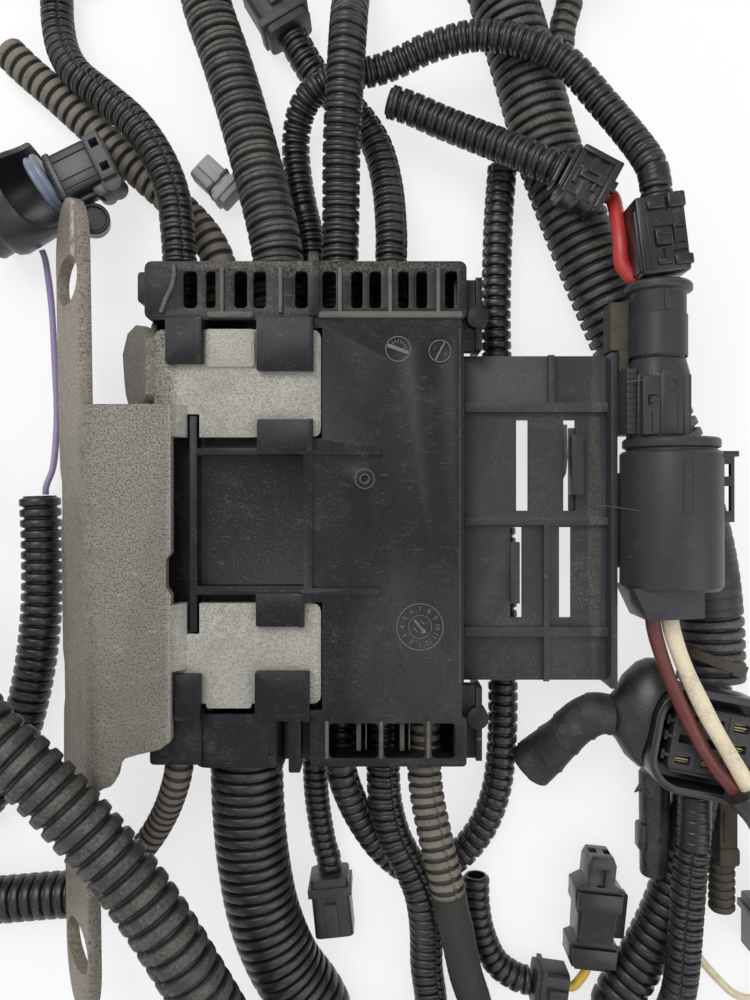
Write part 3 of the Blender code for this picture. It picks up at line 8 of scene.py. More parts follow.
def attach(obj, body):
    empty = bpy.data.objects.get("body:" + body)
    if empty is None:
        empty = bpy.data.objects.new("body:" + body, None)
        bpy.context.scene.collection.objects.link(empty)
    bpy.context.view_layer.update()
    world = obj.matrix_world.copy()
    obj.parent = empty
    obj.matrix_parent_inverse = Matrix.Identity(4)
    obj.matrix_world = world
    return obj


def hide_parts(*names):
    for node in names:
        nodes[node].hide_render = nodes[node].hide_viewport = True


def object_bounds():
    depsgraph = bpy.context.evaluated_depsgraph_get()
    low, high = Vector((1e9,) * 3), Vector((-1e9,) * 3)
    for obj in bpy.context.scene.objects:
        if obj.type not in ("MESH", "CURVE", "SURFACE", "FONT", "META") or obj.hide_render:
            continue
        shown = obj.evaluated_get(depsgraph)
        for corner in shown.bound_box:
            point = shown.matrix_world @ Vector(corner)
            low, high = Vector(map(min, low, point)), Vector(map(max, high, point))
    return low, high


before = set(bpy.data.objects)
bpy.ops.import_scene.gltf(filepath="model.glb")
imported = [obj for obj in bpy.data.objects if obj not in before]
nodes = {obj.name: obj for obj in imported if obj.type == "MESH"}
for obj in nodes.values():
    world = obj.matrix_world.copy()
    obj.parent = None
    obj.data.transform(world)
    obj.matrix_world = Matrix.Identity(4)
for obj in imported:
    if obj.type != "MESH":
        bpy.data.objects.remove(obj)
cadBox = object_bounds()
mm = 0.001

# Camera: straight above the duct, as in the photograph
cameraValues = {"height": 0.345, "lens": 30.0, "sensor": 36.0}
cameraData = bpy.data.cameras.new("photoCamera")
cameraData.lens = cameraValues["lens"]
cameraData.sensor_width = cameraValues["sensor"]
cameraData.clip_start = 0.01
photoCamera = bpy.data.objects.new("photoCamera", cameraData)
photoCamera.location = (0, 0, cameraValues["height"])
bpy.context.scene.collection.objects.link(photoCamera)
bpy.context.scene.camera = photoCamera
bpy.context.scene.view_settings.view_transform = "Standard"

# Routes of the branches, in metres, as the CAD has them
cordRoutes = {
    "conduit_top_1": [(-0.074, 0.072, 0.029), (-0.074, 0.088, 0.029), (-0.0749, 0.1024, 0.029),
        (-0.0769, 0.1161, 0.028), (-0.0829, 0.131, 0.025), (-0.093, 0.146, 0.021),
        (-0.1059, 0.1583, 0.017), (-0.1177, 0.1683, 0.015), (-0.1248, 0.1795, 0.0106),
        (-0.1284, 0.192, 0.0072), (-0.1291, 0.203, 0.0068), (-0.1291, 0.211, 0.0068)],
    "conduit_top_2": [(-0.0615, 0.072, 0.012), (-0.0615, 0.088, 0.012), (-0.0625, 0.0951, 0.0116),
        (-0.0677, 0.1055, 0.0095), (-0.0758, 0.1152, 0.0072), (-0.0872, 0.1258, 0.007),
        (-0.101, 0.138, 0.007), (-0.1148, 0.1509, 0.007), (-0.1286, 0.1635, 0.007), (-0.14, 0.1733, 0.007),
        (-0.1489, 0.1818, 0.007)],
    "conduit_top_3": [(-0.0376, 0.072, 0.022), (-0.0376, 0.0923, 0.022), (-0.0401, 0.107, 0.021),
        (-0.046, 0.1297, 0.0175), (-0.0525, 0.153, 0.014), (-0.0596, 0.1759, 0.0115),
        (-0.066, 0.194, 0.0104), (-0.0685, 0.204, 0.0104), (-0.0685, 0.211, 0.0104)],
    "conduit_top_4": [(-0.0135, 0.072, 0.024), (-0.0135, 0.0917, 0.024), (-0.0131, 0.1098, 0.025),
        (-0.0127, 0.1312, 0.029), (-0.0117, 0.15, 0.033), (-0.0104, 0.171, 0.0334),
        (-0.0097, 0.185, 0.029), (-0.0092, 0.196, 0.02), (-0.0089, 0.204, 0.013), (-0.0086, 0.212, 0.0082),
        (-0.0086, 0.22, 0.0082)],
    "conduit_top_5": [(0.0062, 0.072, 0.022), (0.0062, 0.0923, 0.022), (0.0063, 0.1057, 0.019),
        (0.0048, 0.1259, 0.012), (0.0004, 0.1438, 0.0075), (-0.0085, 0.1572, 0.0066),
        (-0.0185, 0.1655, 0.0066), (-0.0263, 0.1749, 0.0074), (-0.0336, 0.1872, 0.0084)],
    "conduit_arch": [(-0.0253, 0.072, 0.01), (-0.0253, 0.0957, 0.01), (-0.0264, 0.1072, 0.008),
        (-0.0293, 0.12, 0.0062), (-0.0316, 0.1343, 0.0064), (-0.0318, 0.146, 0.009),
        (-0.0286, 0.1555, 0.0146), (-0.0215, 0.1618, 0.0194), (-0.01, 0.1654, 0.0198),
        (0.002, 0.168, 0.0198), (0.011, 0.171, 0.021), (0.022, 0.1746, 0.024), (0.039, 0.1762, 0.029),
        (0.0562, 0.1715, 0.033), (0.0712, 0.164, 0.0334), (0.0847, 0.1478, 0.035), (0.0942, 0.1325, 0.04),
        (0.0986, 0.1215, 0.0454), (0.1003, 0.1155, 0.046), (0.1013, 0.1069, 0.046)],
    "conduit_side": [(0.0052, 0.1554, 0.0204), (0.014, 0.1524, 0.0206), (0.0255, 0.1466, 0.022),
        (0.0388, 0.1396, 0.0255), (0.052, 0.132, 0.0305), (0.0616, 0.1264, 0.034),
        (0.0664, 0.1237, 0.0351), (0.0699, 0.12185, 0.0351)],
    "conduit_trunk": [(0.0495, 0.211, 0.0133), (0.0495, 0.203, 0.0133), (0.0539, 0.191, 0.0133),
        (0.0609, 0.1672, 0.0133), (0.0689, 0.1394, 0.0133), (0.0784, 0.1135, 0.0133),
        (0.0888, 0.0876, 0.0133), (0.0999, 0.0617, 0.0133), (0.1095, 0.0398, 0.0133),
        (0.1175, 0.022, 0.0133), (0.1246, 0, 0.0133), (0.1302, -0.0239, 0.0133), (0.133, -0.0478, 0.0133),
        (0.1338, -0.0717, 0.0133)],
    "conduit_loop": [(0.0518, 0.136, 0.0064), (0.05, 0.1098, 0.0063), (0.0492, 0.0732, 0.0063),
        (0.05, 0.0407, 0.0063), (0.0508, 0, 0.0063), (0.0516, -0.0407, 0.0063), (0.052, -0.0732, 0.0063),
        (0.0516, -0.0976, 0.0063), (0.0492, -0.1179, 0.0063), (0.0427, -0.1342, 0.0063),
        (0.0313, -0.1464, 0.0063), (0.0175, -0.1513, 0.0063), (0.0045, -0.1426, 0.0075),
        (-0.0052, -0.1275, 0.013), (-0.0113, -0.1116, 0.02), (-0.0132, -0.1016, 0.022),
        (-0.0132, -0.084, 0.022)],
    "conduit_thin_top": [(0.0752, 0.176, 0.0058), (0.0762, 0.1914, 0.0058), (0.0786, 0.2, 0.0058),
        (0.0794, 0.2054, 0.0058), (0.0794, 0.211, 0.0058)],
    "conduit_big": [(-0.0496, -0.084, 0.022), (-0.0496, -0.1016, 0.022), (-0.049, -0.1206, 0.0215),
        (-0.047, -0.1409, 0.021), (-0.043, -0.1614, 0.0205), (-0.0356, -0.181, 0.0185),
        (-0.026, -0.1965, 0.0154), (-0.0225, -0.205, 0.0143), (-0.0225, -0.212, 0.0143)],
    "conduit_small_left": [(-0.0746, -0.084, 0.026), (-0.075, -0.101, 0.0254), (-0.0786, -0.1135, 0.02),
        (-0.0846, -0.1265, 0.012), (-0.0924, -0.139, 0.0066), (-0.1013, -0.1486, 0.0064),
        (-0.11, -0.1544, 0.0076)],
    "conduit_low_left": [(-0.1179, -0.1584, 0.0093), (-0.131, -0.1592, 0.0093), (-0.1471, -0.1606, 0.0093),
        (-0.158, -0.1614, 0.0093), (-0.1661, -0.1614, 0.0093)],
    "conduit_thin": [(-0.0241, -0.084, 0.01), (-0.0241, -0.1054, 0.01), (-0.0234, -0.1217, 0.007),
        (-0.0208, -0.1385, 0.0062), (-0.0189, -0.1446, 0.0064), (-0.0184, -0.1496, 0.0064)],
    "conduit_bottom_1": [(0.0031, -0.084, 0.022), (0.0031, -0.1016, 0.022), (0.0039, -0.1163, 0.022),
        (0.0074, -0.1303, 0.0213), (0.0129, -0.1412, 0.021), (0.0174, -0.1517, 0.0204),
        (0.0194, -0.162, 0.0175), (0.0204, -0.174, 0.0125), (0.0208, -0.188, 0.0085),
        (0.0224, -0.2, 0.007), (0.0228, -0.2065, 0.007), (0.0228, -0.213, 0.007)],
    "conduit_bottom_2": [(0.0188, -0.084, 0.025), (0.0188, -0.1006, 0.025), (0.0199, -0.1131, 0.026),
        (0.023, -0.1283, 0.028), (0.0269, -0.1444, 0.0295), (0.029, -0.155, 0.0285),
        (0.0315, -0.166, 0.0255), (0.0353, -0.1845, 0.0195), (0.0393, -0.198, 0.0146),
        (0.041, -0.2065, 0.0124), (0.041, -0.213, 0.0124)],
    "conduit_bottom_3": [(0.0411, -0.1526, 0.0058), (0.0413, -0.164, 0.0058), (0.0435, -0.176, 0.0058),
        (0.0492, -0.188, 0.0058), (0.0586, -0.1944, 0.006), (0.063, -0.195, 0.006)],
    "conduit_crossing": [(-0.177, 0.002, 0.0114), (-0.177, -0.006, 0.0114), (-0.1756, -0.02, 0.015),
        (-0.1705, -0.036, 0.026), (-0.16, -0.051, 0.042), (-0.1465, -0.065, 0.056),
        (-0.132, -0.0786, 0.062), (-0.117, -0.092, 0.0625), (-0.1048, -0.1045, 0.0625),
        (-0.0933, -0.1174, 0.0625), (-0.0808, -0.1326, 0.0625), (-0.0694, -0.15, 0.062),
        (-0.0588, -0.1702, 0.059), (-0.053, -0.186, 0.052), (-0.0504, -0.199, 0.041),
        (-0.0496, -0.21, 0.029), (-0.0494, -0.22, 0.018), (-0.0494, -0.229, 0.0114),
        (-0.0494, -0.236, 0.0114)],
    "conduit_left": [(-0.1354, 0.0016, 0.0083), (-0.1346, -0.0182, 0.0083), (-0.1346, -0.0404, 0.0083),
        (-0.1366, -0.0627, 0.0083), (-0.1402, -0.082, 0.0083), (-0.145, -0.099, 0.0083),
        (-0.151, -0.113, 0.0083), (-0.1594, -0.1228, 0.0083), (-0.1661, -0.1228, 0.0083)],
    "conduit_pair_1": [(0.1334, -0.073, 0.0102), (0.1324, -0.092, 0.0098), (0.13, -0.11, 0.0098),
        (0.1276, -0.125, 0.0098), (0.125, -0.1392, 0.0098), (0.1211, -0.1529, 0.0098),
        (0.114, -0.171, 0.0098), (0.1048, -0.1884, 0.0098), (0.0972, -0.2004, 0.0098),
        (0.0954, -0.2074, 0.0098), (0.0954, -0.213, 0.0098)],
    "conduit_pair_2": [(0.1221, -0.1124, 0.0266), (0.1216, -0.1294, 0.0266), (0.1203, -0.1417, 0.0266),
        (0.1189, -0.1597, 0.0266), (0.1174, -0.1789, 0.0266), (0.1168, -0.19, 0.024),
        (0.1174, -0.199, 0.0174), (0.1184, -0.2068, 0.0106), (0.1184, -0.213, 0.0106)],
    "branch_taped": [(0.0626, -0.107, 0.0096), (0.067, -0.1016, 0.0124), (0.0724, -0.0944, 0.0174),
        (0.079, -0.0854, 0.0234), (0.0844, -0.082, 0.0256), (0.0902, -0.082, 0.0256)],
    "wire_red": [(0.086, 0.1132, 0.0351), (0.0884, 0.1119, 0.0353), (0.0892, 0.103, 0.0385),
        (0.0894, 0.094, 0.041), (0.0902, 0.086, 0.041), (0.0938, 0.0812, 0.0414), (0.0974, 0.079, 0.042),
        (0.0998, 0.0755, 0.043), (0.1, 0.069, 0.043)],
    "wire_cream": [(0.1064, -0.0212, 0.043), (0.1064, -0.039, 0.043), (0.1078, -0.049, 0.044),
        (0.1122, -0.063, 0.0466), (0.1187, -0.078, 0.0496), (0.1262, -0.092, 0.0518),
        (0.1303, -0.0992, 0.052), (0.1336, -0.105, 0.0506)],
    "wire_brown": [(0.1004, -0.0212, 0.0428), (0.1004, -0.039, 0.0428), (0.1015, -0.049, 0.0434),
        (0.1057, -0.0636, 0.0454), (0.1122, -0.0792, 0.047), (0.1203, -0.094, 0.0478),
        (0.1256, -0.1006, 0.0488), (0.1302, -0.1066, 0.0492)],
    "wire_purple": [(-0.135, 0.1014, 0.0073), (-0.134, 0.096, 0.0054), (-0.1327, 0.08, 0.0032),
        (-0.1318, 0.06, 0.0024), (-0.1308, 0.035, 0.0024), (-0.1312, 0.015, 0.0046),
        (-0.1334, 0.006, 0.0065), (-0.1338, 0.0022, 0.0065)],
    "wire_pair": [(0.0732, -0.19642, 0.0072), (0.0772, -0.19698, 0.0072), (0.0804, -0.197, 0.0072),
        (0.0834, -0.1936, 0.0074), (0.0853, -0.19, 0.008), (0.0858, -0.187, 0.0082)],
    "wire_thin": [(0.1285, -0.182, 0.0022), (0.134, -0.189, 0.002), (0.141, -0.197, 0.002),
        (0.1485, -0.2036, 0.002), (0.156, -0.204, 0.003), (0.1594, -0.194, 0.006), (0.1584, -0.186, 0.008),
        (0.1584, -0.1819, 0.008)],
    "wire_sleeve": [(0.1289, -0.1022, 0.0511), (0.1375, -0.1125, 0.0488), (0.145, -0.1235, 0.0414),
        (0.1515, -0.1365, 0.03), (0.1564, -0.1475, 0.017), (0.1584, -0.156, 0.0088),
        (0.1584, -0.161, 0.0088)],
}

# Outside size in millimetres, rib pitch, rib depth, finish, seam angle from the top, and twin-lined ribs
conduitValues = {
    "conduit_top_1": (13, 4.1, 1.3, "satin", 25, True),
    "conduit_top_2": (13.5, 4.8, 1.6, "dusty", 140, False),
    "conduit_top_3": (20, 5.5, 1.7, "matte", 160, True),
    "conduit_top_4": (14.5, 4.9, 1.3, "satin", 170, True),
    "conduit_top_5": (12.5, 4.2, 1.3, "satin", 60, True),
    "conduit_arch": (11.4, 4.3, 1.3, "satin", 150, True),
    "conduit_side": (12.6, 4.4, 1.3, "satin", 170, True),
    "conduit_trunk": (26, 4.3, 1.9, "matte", 100, False),
    "conduit_loop": (12, 4.2, 1.2, "satin", 60, False),
    "conduit_thin_top": (11, 3.8, 1.1, "matte", 90, False),
    "conduit_big": (28, 4.2, 1.7, "satin", 165, False),
    "conduit_small_left": (11, 4.2, 1.2, "dusty", 80, False),
    "conduit_low_left": (18, 4.4, 1.5, "satin", 120, False),
    "conduit_thin": (10, 3.4, 1.0, "satin", 130, False),
    "conduit_bottom_1": (13.2, 4.2, 1.3, "satin", -35, True),
    "conduit_bottom_2": (13.2, 4.0, 1.2, "dusty", -30, False),
    "conduit_bottom_3": (11, 3.8, 1.1, "satin", 120, False),
    "conduit_crossing": (22, 6.0, 1.9, "matte", 30, False),
    "conduit_left": (16, 4.3, 1.6, "satin", 150, False),
    "conduit_pair_1": (19, 4.4, 1.5, "satin", 140, False),
    "conduit_pair_2": (13, 4.1, 1.2, "satin", 20, True),
}


def addNode(tree, kind, sockets=None, **settings):
    made = tree.nodes.new("ShaderNode" + kind)
    for key, value in settings.items():
        setattr(made, key, value)
    for key, value in (sockets or {}).items():
        if isinstance(value, bpy.types.NodeSocket):
            tree.links.new(value, made.inputs[key])
        else:
            made.inputs[key].default_value = value
    return made


def newGroup(name, inputs, output):
    group = bpy.data.node_groups.new(name, "ShaderNodeTree")
    for socketName, value in inputs.items():
        socket = group.interface.new_socket(name=socketName, in_out="INPUT", socket_type="NodeSocketFloat")
        socket.default_value = value
    group.interface.new_socket(name=output, in_out="OUTPUT", socket_type="NodeSocketFloat")
    start = group.nodes.new("NodeGroupInput")
    end = group.nodes.new("NodeGroupOutput")
    place = group.nodes.new("ShaderNodeTexCoord").outputs["Object"]
    return group, start.outputs, end.inputs[output], place


def buildDustFilm():
    group, given, result, place = newGroup("dustFilm", {"Amount": 0.4, "Scale": 60.0, "Upward": 0.6}, "Mask")
    fineScale = addNode(group, "Math", {0: given["Scale"], 1: 13.0}, operation="MULTIPLY").outputs[0]
    coarse = addNode(group, "TexNoise", {"Vector": place, "Scale": given["Scale"], "Detail": 5.0, "Roughness": 0.65})
    fine = addNode(group, "TexNoise", {"Vector": place, "Scale": fineScale, "Detail": 3.0})
    mixed = addNode(group, "Math", {0: coarse.outputs[0], 1: 0.55, 2: 0.0}, operation="MULTIPLY_ADD")
    mixed = addNode(group, "Math", {0: fine.outputs[0], 1: 0.45, 2: mixed.outputs[0]}, operation="MULTIPLY_ADD")
    low = addNode(group, "Math", {0: given["Amount"], 1: -0.42, 2: 0.64}, operation="MULTIPLY_ADD").outputs[0]
    high = addNode(group, "Math", {0: low, 1: 0.22}, operation="ADD").outputs[0]
    film = addNode(group, "MapRange", {0: mixed.outputs[0], 1: low, 2: high}, interpolation_type="SMOOTHSTEP")
    facing = addNode(group, "SeparateXYZ", {0: addNode(group, "NewGeometry").outputs["Normal"]}).outputs["Z"]
    facing = addNode(group, "MapRange", {0: facing, 1: -0.2, 2: 0.7})
    lying = addNode(group, "Mix", {0: given["Upward"], 2: 1.0, 3: facing.outputs[0]}, data_type="FLOAT")
    mask = addNode(group, "Math", {0: film.outputs[0], 1: lying.outputs[0]}, operation="MULTIPLY")
    group.links.new(mask.outputs[0], result)
    return group


def buildScratchMarks():
    group, given, result, place = newGroup("scratchMarks", {"Scale": 70.0, "Width": 0.006, "Density": 0.5}, "Mask")
    total = None
    for turn, stretch in ((0.5, (1.0, 9.0, 1.0)), (-0.9, (1.0, 12.0, 1.0)), (1.9, (1.0, 7.0, 1.0))):
        mapped = addNode(group, "Mapping", {"Vector": place, "Rotation": (0.0, 0.0, turn), "Scale": stretch})
        lines = addNode(group, "TexNoise", {"Vector": mapped.outputs[0], "Scale": given["Scale"], "Detail": 1.0})
        offset = addNode(group, "Math", {0: lines.outputs[0], 1: 0.5}, operation="SUBTRACT")
        offset = addNode(group, "Math", {0: offset.outputs[0]}, operation="ABSOLUTE")
        line = addNode(group, "MapRange", {0: offset.outputs[0], 1: 0.0, 2: given["Width"], 3: 1.0, 4: 0.0})
        total = line.outputs[0] if total is None else addNode(
            group, "Math", {0: total, 1: line.outputs[0]}, operation="MAXIMUM").outputs[0]
    patch = addNode(group, "TexNoise", {"Vector": place, "Scale": 190.0, "Detail": 2.0})
    gate = addNode(group, "Math", {0: given["Density"], 1: -0.5, 2: 0.78}, operation="MULTIPLY_ADD").outputs[0]
    gateHigh = addNode(group, "Math", {0: gate, 1: 0.08}, operation="ADD").outputs[0]
    patch = addNode(group, "MapRange", {0: patch.outputs[0], 1: gate, 2: gateHigh})
    mask = addNode(group, "Math", {0: total, 1: patch.outputs[0]}, operation="MULTIPLY")
    group.links.new(mask.outputs[0], result)
    return group


def buildMouldGrain():
    group, given, result, place = newGroup("mouldGrain", {"Scale": 1400.0, "Waves": 0.4}, "Height")
    fine = addNode(group, "TexNoise", {"Vector": place, "Scale": given["Scale"], "Detail": 3.0})
    broad = addNode(group, "TexNoise", {"Vector": place, "Scale": 95.0, "Detail": 2.0})
    height = addNode(group, "Math", {0: broad.outputs[0], 1: given["Waves"], 2: fine.outputs[0]}, operation="MULTIPLY_ADD")
    group.links.new(height.outputs[0], result)
    return group


def buildPitting():
    group, given, result, place = newGroup("pitting", {"Scale": 900.0, "Amount": 0.4}, "Mask")
    spots = addNode(group, "TexNoise", {"Vector": place, "Scale": given["Scale"], "Detail": 4.0, "Roughness": 0.7})
    low = addNode(group, "Math", {0: given["Amount"], 1: -0.3, 2: 0.7}, operation="MULTIPLY_ADD").outputs[0]
    high = addNode(group, "Math", {0: low, 1: 0.07}, operation="ADD").outputs[0]
    mask = addNode(group, "MapRange", {0: spots.outputs[0], 1: low, 2: high})
    group.links.new(mask.outputs[0], result)
    return group


def buildDirtPatch():
    group, given, result, place = newGroup("dirtPatch", {"MiddleX": 0.0, "MiddleY": 0.0, "ReachX": 0.01,
                                                        "ReachY": 0.01, "Speckle": 0.5, "Scale": 900.0}, "Mask")
    split = addNode(group, "SeparateXYZ", {0: place})
    total = None
    for axis in ("X", "Y"):
        away = addNode(group, "Math", {0: split.outputs[axis], 1: given["Middle" + axis]}, operation="SUBTRACT")
        away = addNode(group, "Math", {0: away.outputs[0], 1: given["Reach" + axis]}, operation="DIVIDE")
        away = addNode(group, "Math", {0: away.outputs[0], 1: 2.0}, operation="POWER")
        total = away.outputs[0] if total is None else addNode(
            group, "Math", {0: total, 1: away.outputs[0]}, operation="ADD").outputs[0]
    near = addNode(group, "MapRange", {0: total, 1: 0.35, 2: 1.1, 3: 1.0, 4: 0.0}, interpolation_type="SMOOTHSTEP")
    grit = addNode(group, "TexNoise", {"Vector": place, "Scale": given["Scale"], "Detail": 4.0, "Roughness": 0.75})
    low = addNode(group, "Math", {0: given["Speckle"], 1: 0.28, 2: 0.36}, operation="MULTIPLY_ADD").outputs[0]
    high = addNode(group, "Math", {0: low, 1: 0.12}, operation="ADD").outputs[0]
    grit = addNode(group, "MapRange", {0: grit.outputs[0], 1: low, 2: high})
    mask = addNode(group, "Math", {0: near.outputs[0], 1: grit.outputs[0]}, operation="MULTIPLY")
    group.links.new(mask.outputs[0], result)
    return group


dustFilm = buildDustFilm()
scratchMarks = buildScratchMarks()
mouldGrain = buildMouldGrain()
pitting = buildPitting()
dirtPatch = buildDirtPatch()


def useGroup(tree, group, **values):
    made = tree.nodes.new("ShaderNodeGroup")
    made.node_tree = group
    for key, value in values.items():
        made.inputs[key].default_value = value
    return made.outputs[0]


def mixColour(tree, factor, low, high):
    def full(value):
        return value if isinstance(value, bpy.types.NodeSocket) else (*value, 1.0)
    return addNode(tree, "Mix", {0: factor, 6: full(low), 7: full(high)}, data_type="RGBA").outputs[2]


def mixNumber(tree, factor, low, high):
    return addNode(tree, "Mix", {0: factor, 2: low, 3: high}, data_type="FLOAT").outputs[0]


def scaled(tree, value, amount):
    return addNode(tree, "Math", {0: value, 1: amount}, operation="MULTIPLY").outputs[0]


def newMaterial(name):
    material = bpy.data.materials.new(name)
    material.use_nodes = True
    tree = material.node_tree
    return material, tree, tree.nodes["Principled BSDF"]


def addBump(tree, shader, height, strength, distance):
    bump = addNode(tree, "Bump", {"Height": height, "Strength": strength, "Distance": distance})
    tree.links.new(bump.outputs[0], shader.inputs["Normal"])


def mouldedPlastic(name, base, dust=(0.16, 0.14, 0.115), dustAmount=0.35, roughness=0.42, scratch=0.45,
                   scratchTone=(0.16, 0.16, 0.165), edge=(0.07, 0.07, 0.074), grain=0.25, specular=0.32,
                   patches=()):
    material, tree, shader = newMaterial(name)
    film = useGroup(tree, dustFilm, Amount=dustAmount, Scale=70.0, Upward=0.7)
    smear = useGroup(tree, dustFilm, Amount=dustAmount * 0.9, Scale=18.0, Upward=0.8)
    marks = useGroup(tree, scratchMarks, Density=scratch, Width=0.005, Scale=60.0)
    # The rounded edge faces are mixed toward the edge colour: partly real edge wear, partly a painted highlight along
    # the edges.
    wornAndHighlit = addNode(tree, "Attribute", attribute_name="edgeWearAndHighlight").outputs["Fac"]
    broken = addNode(tree, "TexNoise", {"Vector": addNode(tree, "TexCoord").outputs["Object"], "Scale": 420.0,
                                        "Detail": 3.0}).outputs[0]
    wornAndHighlit = addNode(tree, "Math", {0: wornAndHighlit, 1: broken}, operation="MULTIPLY").outputs[0]
    colour = mixColour(tree, scaled(tree, wornAndHighlit, 1.3), base, edge)
    colour = mixColour(tree, scaled(tree, smear, 0.28), colour, dust)
    colour = mixColour(tree, scaled(tree, film, 0.4), colour, dust)
    colour = mixColour(tree, scaled(tree, marks, 0.5), colour, scratchTone)
    for middleX, middleY, reachX, reachY, speckle, share, tone in patches:
        patch = useGroup(tree, dirtPatch, MiddleX=middleX * mm, MiddleY=middleY * mm, ReachX=reachX * mm,
                         ReachY=reachY * mm, Speckle=speckle, Scale=1500.0)
        colour = mixColour(tree, scaled(tree, patch, share), colour, tone)
    tree.links.new(colour, shader.inputs["Base Color"])
    rough = mixNumber(tree, film, roughness, min(1.0, roughness + 0.32))
    tree.links.new(rough, shader.inputs["Roughness"])
    shader.inputs["Specular IOR Level"].default_value = specular
    height = useGroup(tree, mouldGrain, Scale=1600.0, Waves=0.5)
    addBump(tree, shader, height, grain, 0.0002)
    return material


def ribbedPlastic(name, base, dust, dustAmount, roughness, crownHighlightTone=(0.026, 0.026, 0.027)):
    material, tree, shader = newMaterial(name)
    crown = addNode(tree, "Attribute", attribute_name="ribHeight").outputs["Fac"]
    film = useGroup(tree, dustFilm, Amount=dustAmount, Scale=85.0, Upward=0.85)
    smear = useGroup(tree, dustFilm, Amount=dustAmount, Scale=22.0, Upward=0.6)
    marks = useGroup(tree, scratchMarks, Density=0.35, Width=0.006, Scale=90.0)
    # Rib crowns are painted lighter toward the crown tone, a painted highlight along each rib; the same crown mask also
    # puts dust on the crowns.
    crownHighlightAndDust = addNode(tree, "MapRange", {0: crown, 1: 0.82, 2: 1.0}).outputs[0]
    groove = addNode(tree, "MapRange", {0: crown, 1: 0.0, 2: 0.75, 3: 1.0, 4: 0.0}).outputs[0]
    packed = addNode(tree, "Math", {0: groove, 1: smear}, operation="MULTIPLY").outputs[0]
    dusted = addNode(tree, "Math", {0: film, 1: crownHighlightAndDust}, operation="MULTIPLY").outputs[0]
    colour = mixColour(tree, scaled(tree, crownHighlightAndDust, 0.7), base, crownHighlightTone)
    colour = mixColour(tree, scaled(tree, dusted, 0.75), colour, dust)
    colour = mixColour(tree, scaled(tree, packed, 0.3), colour, dust)
    colour = mixColour(tree, scaled(tree, marks, 0.4), colour, (0.2, 0.2, 0.2))
    tree.links.new(colour, shader.inputs["Base Color"])
    tree.links.new(mixNumber(tree, film, roughness, min(1.0, roughness + 0.3)), shader.inputs["Roughness"])
    shader.inputs["Specular IOR Level"].default_value = 0.5
    addBump(tree, shader, useGroup(tree, mouldGrain, Scale=1100.0, Waves=0.8), 0.2, 0.0002)
    return material


def coatedSteel(name, values):
    material, tree, shader = newMaterial(name)
    place = addNode(tree, "TexCoord").outputs["Object"]
    across = addNode(tree, "SeparateXYZ", {0: place}).outputs["X"]
    facing = addNode(tree, "SeparateXYZ", {0: addNode(tree, "NewGeometry").outputs["Normal"]}).outputs["Z"]
    onTongue = addNode(tree, "MapRange", {0: across, 1: -0.0745, 2: -0.0705}).outputs[0]
    onFlange = addNode(tree, "MapRange", {0: across, 1: -0.1005, 2: -0.1045}).outputs[0]
    cloud = addNode(tree, "TexNoise", {"Vector": place, "Scale": 45.0, "Detail": 5.0, "Roughness": 0.6}).outputs[0]
    pits = useGroup(tree, pitting, Scale=1500.0, Amount=0.62)
    stains = useGroup(tree, dustFilm, Amount=0.5, Scale=40.0, Upward=0.0)
    marks = useGroup(tree, scratchMarks, Density=0.5, Width=0.006, Scale=45.0)
    base = mixColour(tree, cloud, values["plateLow"], values["plateHigh"])
    base = mixColour(tree, onTongue, base, mixColour(tree, cloud, values["tongueLow"], values["tongueHigh"]))
    base = mixColour(tree, onFlange, base, mixColour(tree, cloud, values["flangeLow"], values["flangeHigh"]))
    wornAndHighlit = addNode(tree, "Attribute", attribute_name="edgeWearAndHighlight").outputs["Fac"]
    broken = addNode(tree, "TexNoise", {"Vector": place, "Scale": 800.0, "Detail": 3.0}).outputs[0]
    broken = addNode(tree, "MapRange", {0: broken, 1: 0.38, 2: 0.56, 3: 0.25, 4: 1.0}).outputs[0]
    cut = addNode(tree, "Math", {0: wornAndHighlit, 1: broken}, operation="MULTIPLY").outputs[0]
    base = mixColour(tree, scaled(tree, cut, 0.9), base, values["cutEdge"])
    pitShare = mixNumber(tree, onTongue, 0.8, 0.3)
    pitted = addNode(tree, "Math", {0: pits, 1: pitShare}, operation="MULTIPLY").outputs[0]
    base = mixColour(tree, pitted, base, values["pit"])
    base = mixColour(tree, scaled(tree, stains, 0.25), base, values["stain"])
    base = mixColour(tree, scaled(tree, marks, 0.35), base, values["cutEdge"])
    for middleX, middleY, reachX, reachY, speckle, share, tone in values.get("patches", ()):
        patch = useGroup(tree, dirtPatch, MiddleX=middleX * mm, MiddleY=middleY * mm, ReachX=reachX * mm,
                         ReachY=reachY * mm, Speckle=speckle, Scale=300.0)
        base = mixColour(tree, scaled(tree, patch, share), base, tone)
    tree.links.new(base, shader.inputs["Base Color"])
    shader.inputs["Metallic"].default_value = 0.35
    tree.links.new(mixNumber(tree, cloud, 0.45, 0.7), shader.inputs["Roughness"])
    peel = addNode(tree, "TexNoise", {"Vector": place, "Scale": 620.0, "Detail": 2.0}).outputs[0]
    height = addNode(tree, "Math", {0: pits, 1: -0.6, 2: peel}, operation="MULTIPLY_ADD").outputs[0]
    addBump(tree, shader, height, 0.45, 0.0004)
    return material


